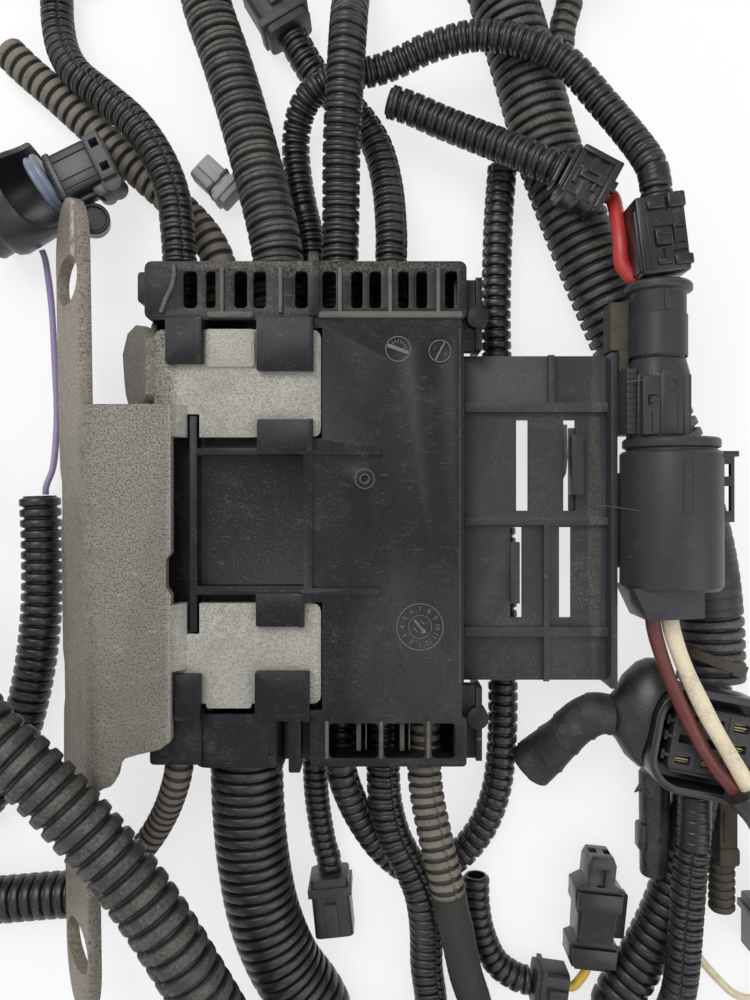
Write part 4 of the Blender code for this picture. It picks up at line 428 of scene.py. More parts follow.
def plainRubber(name, base, roughness, speckle, lift=1.6):
    material, tree, shader = newMaterial(name)
    place = addNode(tree, "TexCoord").outputs["Object"]
    cloud = addNode(tree, "TexNoise", {"Vector": place, "Scale": 220.0, "Detail": 4.0}).outputs[0]
    film = useGroup(tree, dustFilm, Amount=speckle, Scale=120.0, Upward=0.4)
    lighter = tuple(min(1.0, value * lift + 0.006) for value in base)
    colour = mixColour(tree, cloud, base, lighter)
    colour = mixColour(tree, scaled(tree, film, 0.45), colour, (0.16, 0.14, 0.12))
    tree.links.new(colour, shader.inputs["Base Color"])
    tree.links.new(mixNumber(tree, film, roughness, min(1.0, roughness + 0.3)), shader.inputs["Roughness"])
    addBump(tree, shader, useGroup(tree, mouldGrain, Scale=1300.0, Waves=0.6), 0.15, 0.0002)
    return material


print("materials")
dirtTone = (0.19, 0.165, 0.125)
coverPatches = ((-45, -8, 23, 30, 0.72, 0.75, (0.16, 0.155, 0.14)), (-17, -8, 8, 32, 0.78, 0.6, (0.12, 0.12, 0.115)),
                (-20, 84, 60, 4.4, 0.4, 0.6, dirtTone), (-12, -55, 14, 24, 0.72, 0.55, (0.1, 0.1, 0.1)),
                (14, -58, 26, 42, 0.0, 0.26, (0.085, 0.08, 0.08)), (-48, 70, 26, 10, 0.6, 0.5, dirtTone))
bandTone = (0.115, 0.1, 0.077)
basePatches = ((82.4, -8, 3.0, 66, 0.2, 0.75, bandTone), (64, 31, 11, 5, 0.5, 0.75, bandTone),
               (77, -30, 6, 12, 0.55, 0.7, dirtTone), (53, -45, 10, 5, 0.55, 0.7, bandTone),
               (64, -2, 10, 6, 0.55, 0.6, bandTone), (48, 12, 5, 18, 0.66, 0.5, bandTone),
               (52, 48, 14, 9, 0.66, 0.5, (0.14, 0.13, 0.12)), (60, -62, 24, 8, 0.66, 0.5, (0.14, 0.13, 0.12)))
coverPlastic = mouldedPlastic("coverPlastic", (0.0068, 0.007, 0.009), dust=(0.08, 0.076, 0.07), dustAmount=0.3,
                              roughness=0.42, scratch=0.5, patches=coverPatches)
basePlastic = mouldedPlastic("basePlastic", (0.035, 0.035, 0.0385), dust=(0.1, 0.092, 0.08), dustAmount=0.32,
                             roughness=0.44, scratch=0.45, patches=basePatches)
socketPlastic = mouldedPlastic("socketPlastic", (0.035, 0.035, 0.0395), dust=(0.11, 0.1, 0.088), dustAmount=0.26,
                               roughness=0.4, scratch=0.4)
plugPlastic = mouldedPlastic("plugPlastic", (0.014, 0.014, 0.015), dustAmount=0.26, roughness=0.3, scratch=0.35,
                             specular=0.5)
darkPlastic = mouldedPlastic("darkPlastic", (0.034, 0.034, 0.038), dustAmount=0.36, roughness=0.42, scratch=0.4)
markPlastic = mouldedPlastic("markPlastic", (0.135, 0.135, 0.138), dustAmount=0.3, roughness=0.45, scratch=0.2)
paleFace = mouldedPlastic("paleFace", (0.06, 0.06, 0.064), dust=(0.13, 0.12, 0.11), dustAmount=0.3, roughness=0.4,
                          edge=(0.14, 0.14, 0.145), scratch=0.3)
# Lighter dusty tone for the cover's raised ribs and rim bead: dust, plus a painted highlight on the bright rounded rim.
dustAndHighlightRib = mouldedPlastic("dustAndHighlightRib", (0.05, 0.049, 0.048), dust=(0.2, 0.18, 0.145), dustAmount=0.66, roughness=0.5,
                          scratch=0.4, specular=0.4)
dustyPlastic = mouldedPlastic("dustyPlastic", (0.03, 0.028, 0.025), dust=(0.15, 0.125, 0.095), dustAmount=0.75,
                              roughness=0.6, scratch=0.3, specular=0.25)
cakedDirt = mouldedPlastic("cakedDirt", (0.11, 0.095, 0.07), dust=(0.26, 0.23, 0.18), dustAmount=0.7, roughness=0.85,
                           scratch=0.1, grain=0.8, specular=0.1)
paleGreyPlastic = mouldedPlastic("paleGreyPlastic", (0.30, 0.31, 0.32), dust=(0.2, 0.18, 0.15), dustAmount=0.3,
                                 roughness=0.45, edge=(0.4, 0.4, 0.4), scratchTone=(0.35, 0.35, 0.35))
bracketCoat = coatedSteel("bracketCoat", {
    "plateLow": (0.16, 0.145, 0.12), "plateHigh": (0.30, 0.275, 0.235),
    "tongueLow": (0.30, 0.29, 0.25), "tongueHigh": (0.50, 0.485, 0.43),
    "flangeLow": (0.235, 0.205, 0.17), "flangeHigh": (0.38, 0.335, 0.285),
    "cutEdge": (0.62, 0.6, 0.55), "pit": (0.06, 0.05, 0.04), "stain": (0.16, 0.12, 0.085),
    "patches": ((-117.2, 82, 2.6, 20, 0.25, 0.75, (0.30, 0.17, 0.06)), (-116.5, -164, 2.6, 18, 0.3, 0.6, (0.2, 0.12, 0.05)),
                (-113.0, 118, 4.0, 12, 0.3, 0.5, (0.5, 0.46, 0.36)), (-110.5, 96, 1.8, 16, 0.15, 0.8, (0.66, 0.63, 0.54)),
                (-105.5, 18, 3.0, 14, 0.4, 0.5, (0.12, 0.09, 0.06)))})
contactBrass = coatedSteel("contactBrass", {
    "plateLow": (0.42, 0.34, 0.18), "plateHigh": (0.62, 0.54, 0.34), "tongueLow": (0.42, 0.34, 0.18),
    "tongueHigh": (0.66, 0.58, 0.38), "flangeLow": (0.4, 0.3, 0.15), "flangeHigh": (0.6, 0.5, 0.3),
    "cutEdge": (0.8, 0.76, 0.6), "pit": (0.1, 0.08, 0.05), "stain": (0.2, 0.15, 0.08)})
conduitFinishes = {
    "satin": ribbedPlastic("conduitSatin", (0.010, 0.010, 0.011), (0.12, 0.108, 0.09), 0.32, 0.33),
    "matte": ribbedPlastic("conduitMatte", (0.016, 0.016, 0.017), (0.16, 0.142, 0.115), 0.5, 0.42, (0.045, 0.043, 0.041)),
    "dusty": ribbedPlastic("conduitDusty", (0.016, 0.0155, 0.015), (0.23, 0.2, 0.155), 0.8, 0.5, (0.09, 0.082, 0.07)),
}
sealRubber = plainRubber("sealRubber", (0.13, 0.155, 0.21), 0.36, 0.25)
bootRubber = plainRubber("bootRubber", (0.02, 0.02, 0.022), 0.34, 0.3)
loomTape = plainRubber("loomTape", (0.012, 0.012, 0.012), 0.55, 0.4)
sleeveRubber = plainRubber("sleeveRubber", (0.014, 0.014, 0.015), 0.3, 0.45)
redWire = plainRubber("redWire", (0.42, 0.034, 0.03), 0.35, 0.12, 1.35)
creamWire = plainRubber("creamWire", (0.72, 0.62, 0.44), 0.4, 0.42, 1.1)
brownWire = plainRubber("brownWire", (0.105, 0.022, 0.018), 0.4, 0.3, 1.4)
purpleWire = plainRubber("purpleWire", (0.25, 0.2, 0.34), 0.4, 0.25, 1.3)
yellowWire = plainRubber("yellowWire", (0.62, 0.42, 0.06), 0.4, 0.3, 1.2)


def finishPiece(piece, slotName, material=None, *replaced):
    if material:
        piece.data.materials.clear()
        piece.data.materials.append(material)
    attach(piece, "root")
    if replaced:
        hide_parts(*replaced)
    return piece


def newPiece(name, bm, smoothAngle=None):
    mesh = bpy.data.meshes.new(name)
    bm.to_mesh(mesh)
    bm.free()
    piece = bpy.data.objects.new(name, mesh)
    bpy.context.scene.collection.objects.link(piece)
    if smoothAngle is not None:
        mesh.shade_smooth()
        mesh.set_sharp_from_angle(angle=radians(smoothAngle))
    return piece


def roundedCopy(nodeName, slotName, material, width=0.35, segments=2, minAngle=28):
    # A copy of a CAD node with its edges rounded; the rounded faces are marked for edge wear and, on the plastics, for
    # a painted edge highlight.
    bm = bmesh.new()
    bm.from_mesh(nodes[nodeName].data)
    layer = bm.faces.layers.float.new("edgeWearAndHighlight")
    bmesh.ops.remove_doubles(bm, verts=bm.verts, dist=0.01 * mm)
    bmesh.ops.dissolve_limit(bm, angle_limit=radians(1.0), verts=bm.verts, edges=bm.edges)
    edges = [edge for edge in bm.edges if edge.is_manifold and edge.calc_face_angle(0) > radians(minAngle)]
    made = bmesh.ops.bevel(bm, geom=edges, offset=width * mm, segments=segments, profile=0.5, affect="EDGES",
                           clamp_overlap=True, material=-1)
    for face in made["faces"]:
        face[layer] = 1.0
    piece = newPiece(nodeName + "_rounded", bm, 40)
    return finishPiece(piece, slotName, material, nodeName)


# Sleeves pulled over the ribs: from and to along Y in millimetres, and the share of the rib depth that shows
sleeveSpans = {
    "conduit_trunk": (-5, -45, 0.1), "conduit_bottom_2": (-149, -230, 0.06), "conduit_pair_2": (-100, -133, 0.22),
    "conduit_pair_1": (-112, -140, 0.12), "conduit_arch": (118, 114, 0.1),
}


def smoothRoute(points, spacing):
    # Evenly spaced points on the curve through the chosen ones, as in the CAD.
    points = [Vector(point) for point in points]
    ends = [points[0] * 2 - points[1]] + points + [points[-1] * 2 - points[-2]]
    fine = []
    for i in range(1, len(ends) - 2):
        for step in range(24):
            t = step / 24
            fine.append((ends[i] * 2 + (ends[i + 1] - ends[i - 1]) * t
                         + (ends[i - 1] * 2 - ends[i] * 5 + ends[i + 1] * 4 - ends[i + 2]) * t * t
                         + (ends[i] * 3 - ends[i - 1] - ends[i + 1] * 3 + ends[i + 2]) * t * t * t) / 2)
    fine = np.array(fine + [points[-1]])
    reach = np.concatenate([[0.0], np.cumsum(np.linalg.norm(np.diff(fine, axis=0), axis=1))])
    goals = np.linspace(0, reach[-1], max(4, int(reach[-1] / spacing) + 1))
    return np.stack([np.interp(goals, reach, fine[:, axis]) for axis in range(3)], axis=1), reach[-1]


def bendOnto(mesh, route, length):
    # Moves a body modelled along +Z onto a route, its +X side up.
    count = len(mesh.vertices)
    place = np.empty(count * 3)
    mesh.vertices.foreach_get("co", place)
    place = place.reshape(-1, 3)
    along = np.gradient(route, axis=0)
    along /= np.linalg.norm(along, axis=1)[:, None]
    up = np.array([0.0, 0.0, 1.0]) - along[:, 2:3] * along
    up /= np.linalg.norm(up, axis=1)[:, None]
    side = np.cross(along, up)
    stations = np.linspace(0, length, len(route))
    at = np.clip(place[:, 2], 0, length)

    def pick(values):
        return np.stack([np.interp(at, stations, values[:, axis]) for axis in range(3)], axis=1)
    moved = pick(route) + pick(up) * place[:, 0:1] + pick(side) * place[:, 1:2]
    mesh.vertices.foreach_set("co", moved.ravel())
    mesh.update()


def keepValues(mesh, name, values):
    layer = mesh.attributes.new(name, "FLOAT", "POINT")
    layer.data.foreach_set("value", np.asarray(values, dtype=np.float32))


def placed(x, y, z, turn=0.0, tilt=0.0):
    return (Matrix.Translation(Vector((x, y, z)) * mm) @ Matrix.Rotation(radians(turn), 4, "Z")
            @ Matrix.Rotation(radians(tilt), 4, "Y"))


def addBox(bm, low, high, soften=0.3, place=Matrix()):
    size = Vector(high) - Vector(low)
    matrix = place @ Matrix.Translation((Vector(high) + Vector(low)) / 2 * mm) @ Matrix.Diagonal((*(size * mm), 1.0))
    made = bmesh.ops.create_cube(bm, size=1.0, matrix=matrix)["verts"]
    if soften:
        edges = list({edge for vert in made for edge in vert.link_edges})
        bmesh.ops.bevel(bm, geom=edges, offset=soften * mm, segments=2, profile=0.5, affect="EDGES",
                        clamp_overlap=True, material=-1)


def addRod(bm, start, end, radius, sides=24, endRadius=None, place=Matrix(), soften=0.0):
    start, end = Vector(start) * mm, Vector(end) * mm
    along = end - start
    matrix = place @ Matrix.Translation((start + end) / 2) @ along.to_track_quat("Z", "Y").to_matrix().to_4x4()
    made = bmesh.ops.create_cone(bm, cap_ends=True, cap_tris=False, segments=sides, radius1=radius * mm,
                                 radius2=(radius if endRadius is None else endRadius) * mm, depth=along.length,
                                 matrix=matrix)["verts"]
    if soften:
        edges = list({edge for vert in made for edge in vert.link_edges if edge.calc_face_angle(0) > 0.8})
        bmesh.ops.bevel(bm, geom=edges, offset=soften * mm, segments=2, profile=0.5, affect="EDGES",
                        clamp_overlap=True, material=-1)


def addRing(bm, inner, outer, low, high, place=Matrix(), sides=48, angle=2 * pi):
    before = set(bm.verts)
    soften = min(outer - inner, high - low) * 0.25
    outline = [(inner, low), (outer - soften, low), (outer, low + soften), (outer, high - soften),
               (outer - soften, high), (inner + soften, high), (inner, high - soften)]
    verts = [bm.verts.new((radius * mm, 0, z * mm)) for radius, z in outline]
    edges = [bm.edges.new(pair) for pair in zip(verts, verts[1:] + verts[:1])]
    bmesh.ops.spin(bm, geom=verts + edges, cent=(0, 0, 0), axis=(0, 0, 1), angle=angle, steps=sides,
                   use_merge=True, dvec=(0, 0, 0))
    bmesh.ops.transform(bm, matrix=place, verts=[vert for vert in bm.verts if vert not in before])


def addNumber(bm, words, size, place, depth=0.3):
    curve = bpy.data.curves.new(words, "FONT")
    curve.body = words
    curve.size = size * mm
    curve.align_x = "CENTER"
    curve.align_y = "CENTER"
    curve.extrude = depth / 2 * mm
    curve.resolution_u = 3
    holder = bpy.data.objects.new(words, curve)
    mesh = bpy.data.meshes.new_from_object(holder)
    mesh.transform(place)
    bm.from_mesh(mesh)
    bpy.data.objects.remove(holder)
    bpy.data.meshes.remove(mesh)


def carved(bm, cutter):
    # Takes the cutter's bodies out of the bodies in bm.
    parts = []
    for source in (bm, cutter):
        bmesh.ops.recalc_face_normals(source, faces=source.faces)
        mesh = bpy.data.meshes.new("carving")
        source.to_mesh(mesh)
        source.free()
        parts.append(bpy.data.objects.new("carving", mesh))
        bpy.context.scene.collection.objects.link(parts[-1])
    change = parts[0].modifiers.new("cut", "BOOLEAN")
    change.operation = "DIFFERENCE"
    change.solver = "EXACT"
    change.object = parts[1]
    change.use_self = True
    made = bmesh.new()
    made.from_mesh(parts[0].evaluated_get(bpy.context.evaluated_depsgraph_get()).data)
    for part in parts:
        mesh = part.data
        bpy.data.objects.remove(part)
        bpy.data.meshes.remove(mesh)
    return made


def finishDetail(name, bm, slotName, material, *replaced, smoothAngle=40):
    bmesh.ops.recalc_face_normals(bm, faces=bm.faces)
    return finishPiece(newPiece(name, bm, smoothAngle), slotName, material, *replaced)


ribPlain = ((0.0, 0.0), (0.13, 0.0), (0.24, 0.85), (0.34, 1.0), (0.78, 1.0), (0.89, 0.85))
ribTwin = ((0.0, 0.0), (0.11, 0.0), (0.2, 0.85), (0.29, 1.0), (0.47, 1.0), (0.54, 0.72), (0.61, 1.0), (0.8, 1.0),
           (0.9, 0.85))


def ribbedConduit(name):
    size, pitch, depth, finish, seam, twin = conduitValues[name]
    outer, depth = size * mm / 2, depth * mm
    inner = outer - depth
    route, length = smoothRoute(cordRoutes[name], 1.5 * mm)
    ribs = max(3, round(length / (pitch * mm)))
    step = length / ribs
    wall = inner - 0.8 * mm
    outline = [(0.0, 5 * mm), (wall, 5 * mm), (wall, 0.0)]
    for rib in range(ribs):
        for share, height in (ribTwin if twin else ribPlain):
            outline.append((inner + depth * height, (rib + share) * step))
    outline += [(inner, length), (wall, length), (wall, length - 5 * mm), (0.0, length - 5 * mm)]
    bm = bmesh.new()
    verts = [bm.verts.new((radius, 0, z)) for radius, z in outline]
    edges = [bm.edges.new(pair) for pair in zip(verts, verts[1:])]
    sides = 28 if size < 18 else 36
    bmesh.ops.spin(bm, geom=verts + edges, cent=(0, 0, 0), axis=(0, 0, 1), angle=2 * pi, steps=sides,
                   use_merge=True, dvec=(0, 0, 0))
    bmesh.ops.remove_doubles(bm, verts=bm.verts, dist=0.001 * mm)
    bmesh.ops.recalc_face_normals(bm, faces=bm.faces)
    piece = newPiece(name + "_ribbed", bm, 60)
    mesh = piece.data
    place = np.empty(len(mesh.vertices) * 3)
    mesh.vertices.foreach_get("co", place)
    place = place.reshape(-1, 3)
    radius = np.hypot(place[:, 0], place[:, 1])
    turn = np.arctan2(place[:, 1], place[:, 0])
    seamTurn = radians(seam)
    # more faces near the slit, fewer behind it
    turn = turn - 0.72 * np.sin(turn - 0.0)
    wander = 0.06 * np.sin(place[:, 2] / (26 * mm)) + 0.03 * np.sin(place[:, 2] / (9 * mm) + 1.0)
    offset = np.abs(turn) * outer
    isOuter = radius > wall + 0.2 * mm
    slit = np.exp(-(offset / (0.55 * mm)) ** 2) * isOuter
    lip = np.where((turn > 0) & (turn < 1.2), np.exp(-turn / 0.35), 0.0) * isOuter
    height = np.clip((radius - inner) / depth, 0, 1)
    radius = radius - slit * depth * 0.9 * np.clip(height + 0.3, 0, 1) + lip * 0.22 * mm
    if name in sleeveSpans:
        first, last, share = sleeveSpans[name]
        level = np.interp(place[:, 2], np.linspace(0, length, len(route)), route[:, 1]) / mm
        inside = np.clip((first - level) / 1.6 + 0.5, 0, 1) * np.clip((level - last) / 1.6 + 0.5, 0, 1)
        covered = inside * isOuter
        radius = radius + covered * (outer - depth * share * (1 - height) - radius)
        height = height + covered * (0.6 - height)
    tilt = np.sin(place[:, 2] / (31 * mm) + size) * 0.22 * mm * np.cos(turn + 1.0)
    turn = turn + seamTurn + wander
    place[:, 0] = radius * np.cos(turn)
    place[:, 1] = radius * np.sin(turn)
    place[:, 2] += tilt * (radius > 0.2 * mm) * (place[:, 2] > 2 * step) * (place[:, 2] < length - 2 * step)
    mesh.vertices.foreach_set("co", place.ravel())
    keepValues(mesh, "ribHeight", height)
    bendOnto(mesh, route, length)
    finishPiece(piece, "conduit_black", conduitFinishes[finish], name)
    return piece


# Declared size, drawn radius at the start and the end in millimetres, lap of the tape and its step
wireValues = {
    "wire_red": (4, 2.75, 2.75, 0.0, 8), "wire_cream": (6, 3.05, 2.9, 0.0, 8), "wire_brown": (5.2, 2.6, 2.5, 0.0, 8),
    "wire_purple": (2, 1.3, 1.3, 0.0, 8), "wire_pair": (3.6, 1.8, 1.8, 0.0, 8), "wire_thin": (3.2, 1.6, 1.6, 0.0, 8),
    "wire_sleeve": (11.6, 6.3, 5.5, 0.1, 14), "branch_taped": (17, 9.2, 7.6, 0.45, 11),
}


def plainCord(name, slotName, material):
    size, startRadius, endRadius, lap, lapStep = wireValues[name]
    route, length = smoothRoute(cordRoutes[name], 0.8 * mm)
    bm = bmesh.new()
    steps = len(route) - 1
    outline = [(0.0, 0.0)] + [(mm, length * step / steps) for step in range(steps + 1)] + [(0.0, length)]
    verts = [bm.verts.new((radius, 0, z)) for radius, z in outline]
    edges = [bm.edges.new(pair) for pair in zip(verts, verts[1:])]
    bmesh.ops.spin(bm, geom=verts + edges, cent=(0, 0, 0), axis=(0, 0, 1), angle=2 * pi, steps=32 if size > 9 else 20,
                   use_merge=True, dvec=(0, 0, 0))
    bmesh.ops.remove_doubles(bm, verts=bm.verts, dist=0.001 * mm)
    bmesh.ops.recalc_face_normals(bm, faces=bm.faces)
    piece = newPiece(name + "_drawn", bm, 60)
    mesh = piece.data
    place = np.empty(len(mesh.vertices) * 3)
    mesh.vertices.foreach_get("co", place)
    place = place.reshape(-1, 3)
    turn = np.arctan2(place[:, 1], place[:, 0])
    share = np.clip(place[:, 2] / length, 0, 1)
    radius = (startRadius + (endRadius - startRadius) * share) * mm
    wrap = (place[:, 2] / (lapStep * mm) + turn / (2 * pi)) % 1.0
    radius = radius + lap * mm * (np.exp(-wrap / 0.1) - 0.4 * wrap)
    radius = radius + 0.02 * size * mm * np.sin(place[:, 2] / (5 * mm) + 2 * turn + size)
    onSkin = np.hypot(place[:, 0], place[:, 1]) > 0.5 * mm
    place[:, 0] = radius * np.cos(turn) * onSkin
    place[:, 1] = radius * np.sin(turn) * onSkin
    mesh.vertices.foreach_set("co", place.ravel())
    bendOnto(mesh, route, length)
    finishPiece(piece, slotName, material, name)
    return piece


print("rigid pieces")
roundedValues = {
    "duct_base": ("black_plastic", basePlastic, 0.35), "duct_cover": ("black_plastic", coverPlastic, 0.35),
    "bracket": ("bracket_steel", bracketCoat, 0.7), "barrel": ("black_plastic", socketPlastic, 0.4),
    "socket_plug": ("dark_plastic", socketPlastic, 0.3), "socket_sleeve": ("black_plastic", socketPlastic, 0.35),
    "clamp_side": ("black_plastic", plugPlastic, 0.35),
    "boot_shell": ("black_plastic", bootRubber, 0.3), "boot_seal": ("rubber_grey", sealRubber, 0.25),
    "oval_shell": ("black_plastic", plugPlastic, 0.35),
    "oval_core": ("dark_plastic", darkPlastic, 0.3), "oval_boot": ("black_plastic", bootRubber, 0.4),
    "small_plug": ("black_plastic", plugPlastic, 0.9), "end_cap": ("dark_plastic", darkPlastic, 0.35),
    "thin_plug": ("black_plastic", bootRubber, 1.2), "grey_plug": ("grey_plastic", paleGreyPlastic, 1.4),
    "box_plug": ("dark_plastic", darkPlastic, 0.4), "wire_loom": ("tape_black", loomTape, 0.5),
}
for endPlug in ("top_1", "top_3", "top_4", "trunk", "left_pair", "crossing_left", "crossing_front", "big",
                "bottom", "pair", "sleeve"):
    roundedValues["plug_" + endPlug] = ("black_plastic", plugPlastic, 0.4)
for nodeName, (slotName, material, width) in roundedValues.items():
    roundedCopy(nodeName, slotName, material, width)

print("cover marks")
dialValues = {"centre": (16.2, -45.7), "floor": 44.5, "outer": 8.5, "inner": 4.3, "numberRing": 6.35, "numberSize": 2.5,
              "topNumber": 7, "arrowTurn": -50}


def coverDial():
    x, y = dialValues["centre"]
    floorZ = dialValues["floor"]
    bm = bmesh.new()
    addRing(bm, dialValues["outer"] - 0.35, dialValues["outer"], floorZ, 45.15, placed(x, y, 0), 64)
    addRing(bm, dialValues["inner"] - 0.25, dialValues["inner"], floorZ, 44.95, placed(x, y, 0), 48)
    for number in range(1, 13):
        turn = 90 - (number - dialValues["topNumber"]) * 30
        spot = placed(x, y, floorZ + 0.25, turn - 90) @ placed(0, dialValues["numberRing"], 0)
        addNumber(bm, str(number), dialValues["numberSize"], spot, 0.45)
    arrow = placed(x, y, floorZ, dialValues["arrowTurn"])
    addBox(bm, (-3.4, -0.4, 0), (1.6, 0.4, 0.42), 0.1, arrow)
    addRod(bm, (2.1, 0, 0), (2.1, 0, 0.42), 1.3, 3, place=arrow @ Matrix.Rotation(0.0, 4, "Z"))
    addBox(bm, (-1.6, 1.6, 0), (0.4, 1.95, 0.4), 0.08, arrow)
    addBox(bm, (-1.2, -2.0, 0), (0.8, -1.65, 0.4), 0.08, arrow)
    return finishDetail("dialMarks", bm, "black_plastic", markPlastic)


insertValues = {"first": (8.3, 54.4, 44.4, -20), "second": (23.4, 53.6, 44.6, 62)}


def dateInserts():
    bm = bmesh.new()
    x, y, floorZ, turn = insertValues["first"]
    addRing(bm, 4.25, 4.65, floorZ, 45.2, placed(x, y, 0), 48)
    addBox(bm, (-4.1, -0.75, 0), (4.1, 0.75, 0.62), 0.2, placed(x, y, floorZ, turn))
    for step in range(7):
        addBox(bm, (-0.18, 2.3, 0), (0.18, 3.5, 0.35), 0.06, placed(x, y, floorZ, turn - 60 + 20 * step))
    x, y, floorZ, turn = insertValues["second"]
    addRing(bm, 3.75, 4.15, floorZ, 45.2, placed(x, y, 0), 48)
    addBox(bm, (-3.6, -0.35, 0), (3.6, 0.35, 0.42), 0.12, placed(x, y, floorZ, turn))
    addNumber(bm, "1", 2.2, placed(x - 1.9, y + 1.1, floorZ + 0.2, -20), 0.4)
    addNumber(bm, "2", 2.2, placed(x + 1.9, y - 1.1, floorZ + 0.2, -20), 0.4)
    addRing(bm, 1.5, 1.8, 45.5, 46.1, placed(-3.7, 7.6, 0), 32)
    addRing(bm, 3.3, 3.6, 45.5, 46.0, placed(-3.7, 7.6, 0), 40)
    return finishDetail("insertMarks", bm, "black_plastic", markPlastic)


coverRibValues = {"height": 46.3, "topRibs": (-55.0, -34.0, -22.0, -12.6, 5.4, 22.7), "lowRibs": (-17.3, 2.2, 19.2),
                  "innerPosts": (-6.0, 10.0), "curved": ((-72.4, 84.6), (-72.2, 81.0), (-73.2, 76.5), (-75.4, 72.0),
                                                          (-76.8, 68.0))}


def coverEdgeRibs():
    high = coverRibValues["height"]
    bm = bmesh.new()
    for low, far in ((-60.4, -43.6), (-20.8, 31.6)):
        addBox(bm, (low, 65.3, 44.2), (far, 67.9, high + 0.2), 0.9)
    for x in coverRibValues["topRibs"]:
        addBox(bm, (x - 0.75, 67.2, 44.2), (x + 0.75, 83.6, high), 0.4)
    for x in coverRibValues["lowRibs"]:
        addBox(bm, (x - 0.7, -93.0, 44.2), (x + 0.7, -79.4, high - 0.4), 0.4)
    for x in coverRibValues["innerPosts"]:
        addBox(bm, (x - 0.9, -92.4, 30), (x + 0.9, -80.0, 38.4), 0.3)
        addBox(bm, (x + 2.4, -92.4, 30), (x + 3.0, -80.0, 37.0), 0.15)
    points = coverRibValues["curved"]
    for (x, y), (nextX, nextY) in zip(points, points[1:]):
        addRod(bm, (x, y, 45.3), (nextX, nextY, 45.3), 0.85, 16)
        addRod(bm, (nextX, nextY, 44.4), (nextX, nextY, 46.1), 0.8, 16, soften=0.3)
    addBox(bm, (30.4, -66.0, 44.8), (30.65, 62.0, 45.2), 0.06)
    # The ribs and the rim bead take the lighter rib material, which carries a painted highlight as well as dust.
    return finishDetail("coverEdgeRibs", bm, "black_plastic", dustAndHighlightRib)


coverDial()
dateInserts()
coverEdgeRibs()

print("holder and socket details")
holderValues = {"plate": 30.0, "stripWidth": 2.5, "strip": ((71.4, 28.2), (71.6, 16.0), (71.0, 10.4), (68.4, 5.4))}


def bentStrip():
    bm = bmesh.new()
    points = holderValues["strip"]
    for (x, y), (nextX, nextY) in zip(points, points[1:]):
        reach = hypot(nextX - x, nextY - y)
        turn = np.degrees(np.arctan2(nextY - y, nextX - x))
        half = holderValues["stripWidth"] / 2
        addBox(bm, (-0.3, -half, -1.6), (reach + 0.5, half, 0.5), 0.35,
               placed(x, y, holderValues["plate"], float(turn)))
    bmesh.ops.subdivide_edges(bm, edges=[edge for edge in bm.edges if edge.calc_length() > 2 * mm], cuts=4,
                              use_grid_fill=True)
    return finishDetail("bentStrip", bm, "dark_plastic", cakedDirt)


def slotTongues():
    # The thin plates that stand in the holder's slots, and the dark gaps beside them.
    bm = bmesh.new()
    for low, high in (((58.4, -4.2, 28.6), (63.6, 27.4, 30.35)), ((73.2, -4.0, 28.4), (78.2, 27.2, 30.3)),
                      ((55.9, -41.4, 28.6), (56.9, -12.4, 30.5)), ((67.6, -41.6, 28.6), (68.5, -11.6, 30.4)),
                      ((62.2, -43.6, 28.6), (63.3, -9.4, 30.8))):
        addBox(bm, low, high, 0.25)
    return finishDetail("slotTongues", bm, "black_plastic", basePlastic)


socketValues = {"axisX": 102.6, "axisZ": 43.0, "blockTop": 54.5, "low": 22.8, "high": 43.6}


def socketGuides():
    bm = bmesh.new()
    top, low, high = socketValues["blockTop"], socketValues["low"], socketValues["high"]
    addBox(bm, (89.3, low + 0.6, 36), (93.0, 46.8, 49.6), 0.5)
    for step in range(10):
        addBox(bm, (89.5, low + 2.2 + step * 2.2, 49.2), (92.4, low + 3.1 + step * 2.2, 50.0), 0.2)
    addBox(bm, (93.6, low, 42), (99.6, high, top - 0.4), 0.5)
    addBox(bm, (100.0, low, 44), (107.6, high + 2.4, top), 0.6)
    cutter = bmesh.new()
    addBox(cutter, (95.4, 32.9, top - 2.6), (98.6, 36.9, top + 2), 0.2)
    addBox(cutter, (96.6, 24.0, top - 1.0), (96.9, 31.0, top + 2), 0.0)
    bm = carved(bm, cutter)
    addBox(bm, (96.2, 34.2, top - 2.2), (97.6, 35.8, top - 0.6), 0.15)
    addRing(bm, 1.7, 2.2, top - 0.3, top + 0.3, placed(103.6, 40.4, 0), 32)
    addBox(bm, (101.4, 24.4, top - 0.2), (101.7, 37.0, top + 0.22), 0.08)
    addBox(bm, (105.6, 24.4, top - 0.2), (105.9, 37.0, top + 0.22), 0.08)
    addBox(bm, (101.6, 66.9, 50.4), (104.8, 73.6, 53.3), 0.3)
    addRing(bm, 9.85, 10.25, 51.4, 66.4, placed(102.6, 0, 43) @ Matrix.Rotation(-pi / 2, 4, "X"), 56)
    return finishDetail("socketGuides", bm, "dark_plastic", socketPlastic)


def barrelSeam():
    bm = bmesh.new()
    for x in (105.2, 108.4):
        addBox(bm, (x, -4.6, 60.5), (x + 0.22, 13.4, 61.05), 0.06)
    addBox(bm, (105.2, 13.2, 60.5), (108.6, 13.4, 61.08), 0.06)
    addBox(bm, (105.2, -4.6, 60.5), (108.6, -4.4, 61.08), 0.06)
    return finishDetail("barrelSeam", bm, "black_plastic", socketPlastic)


def dustySidePlate():
    bm = bmesh.new()
    addBox(bm, (86.2, 54.8, 30), (93.2, 72.6, 39.6), 0.6)
    addBox(bm, (89.4, 46.9, 30), (93.2, 55.2, 39.4), 0.5)
    return finishDetail("dustySidePlate", bm, "dark_plastic", dustyPlastic)


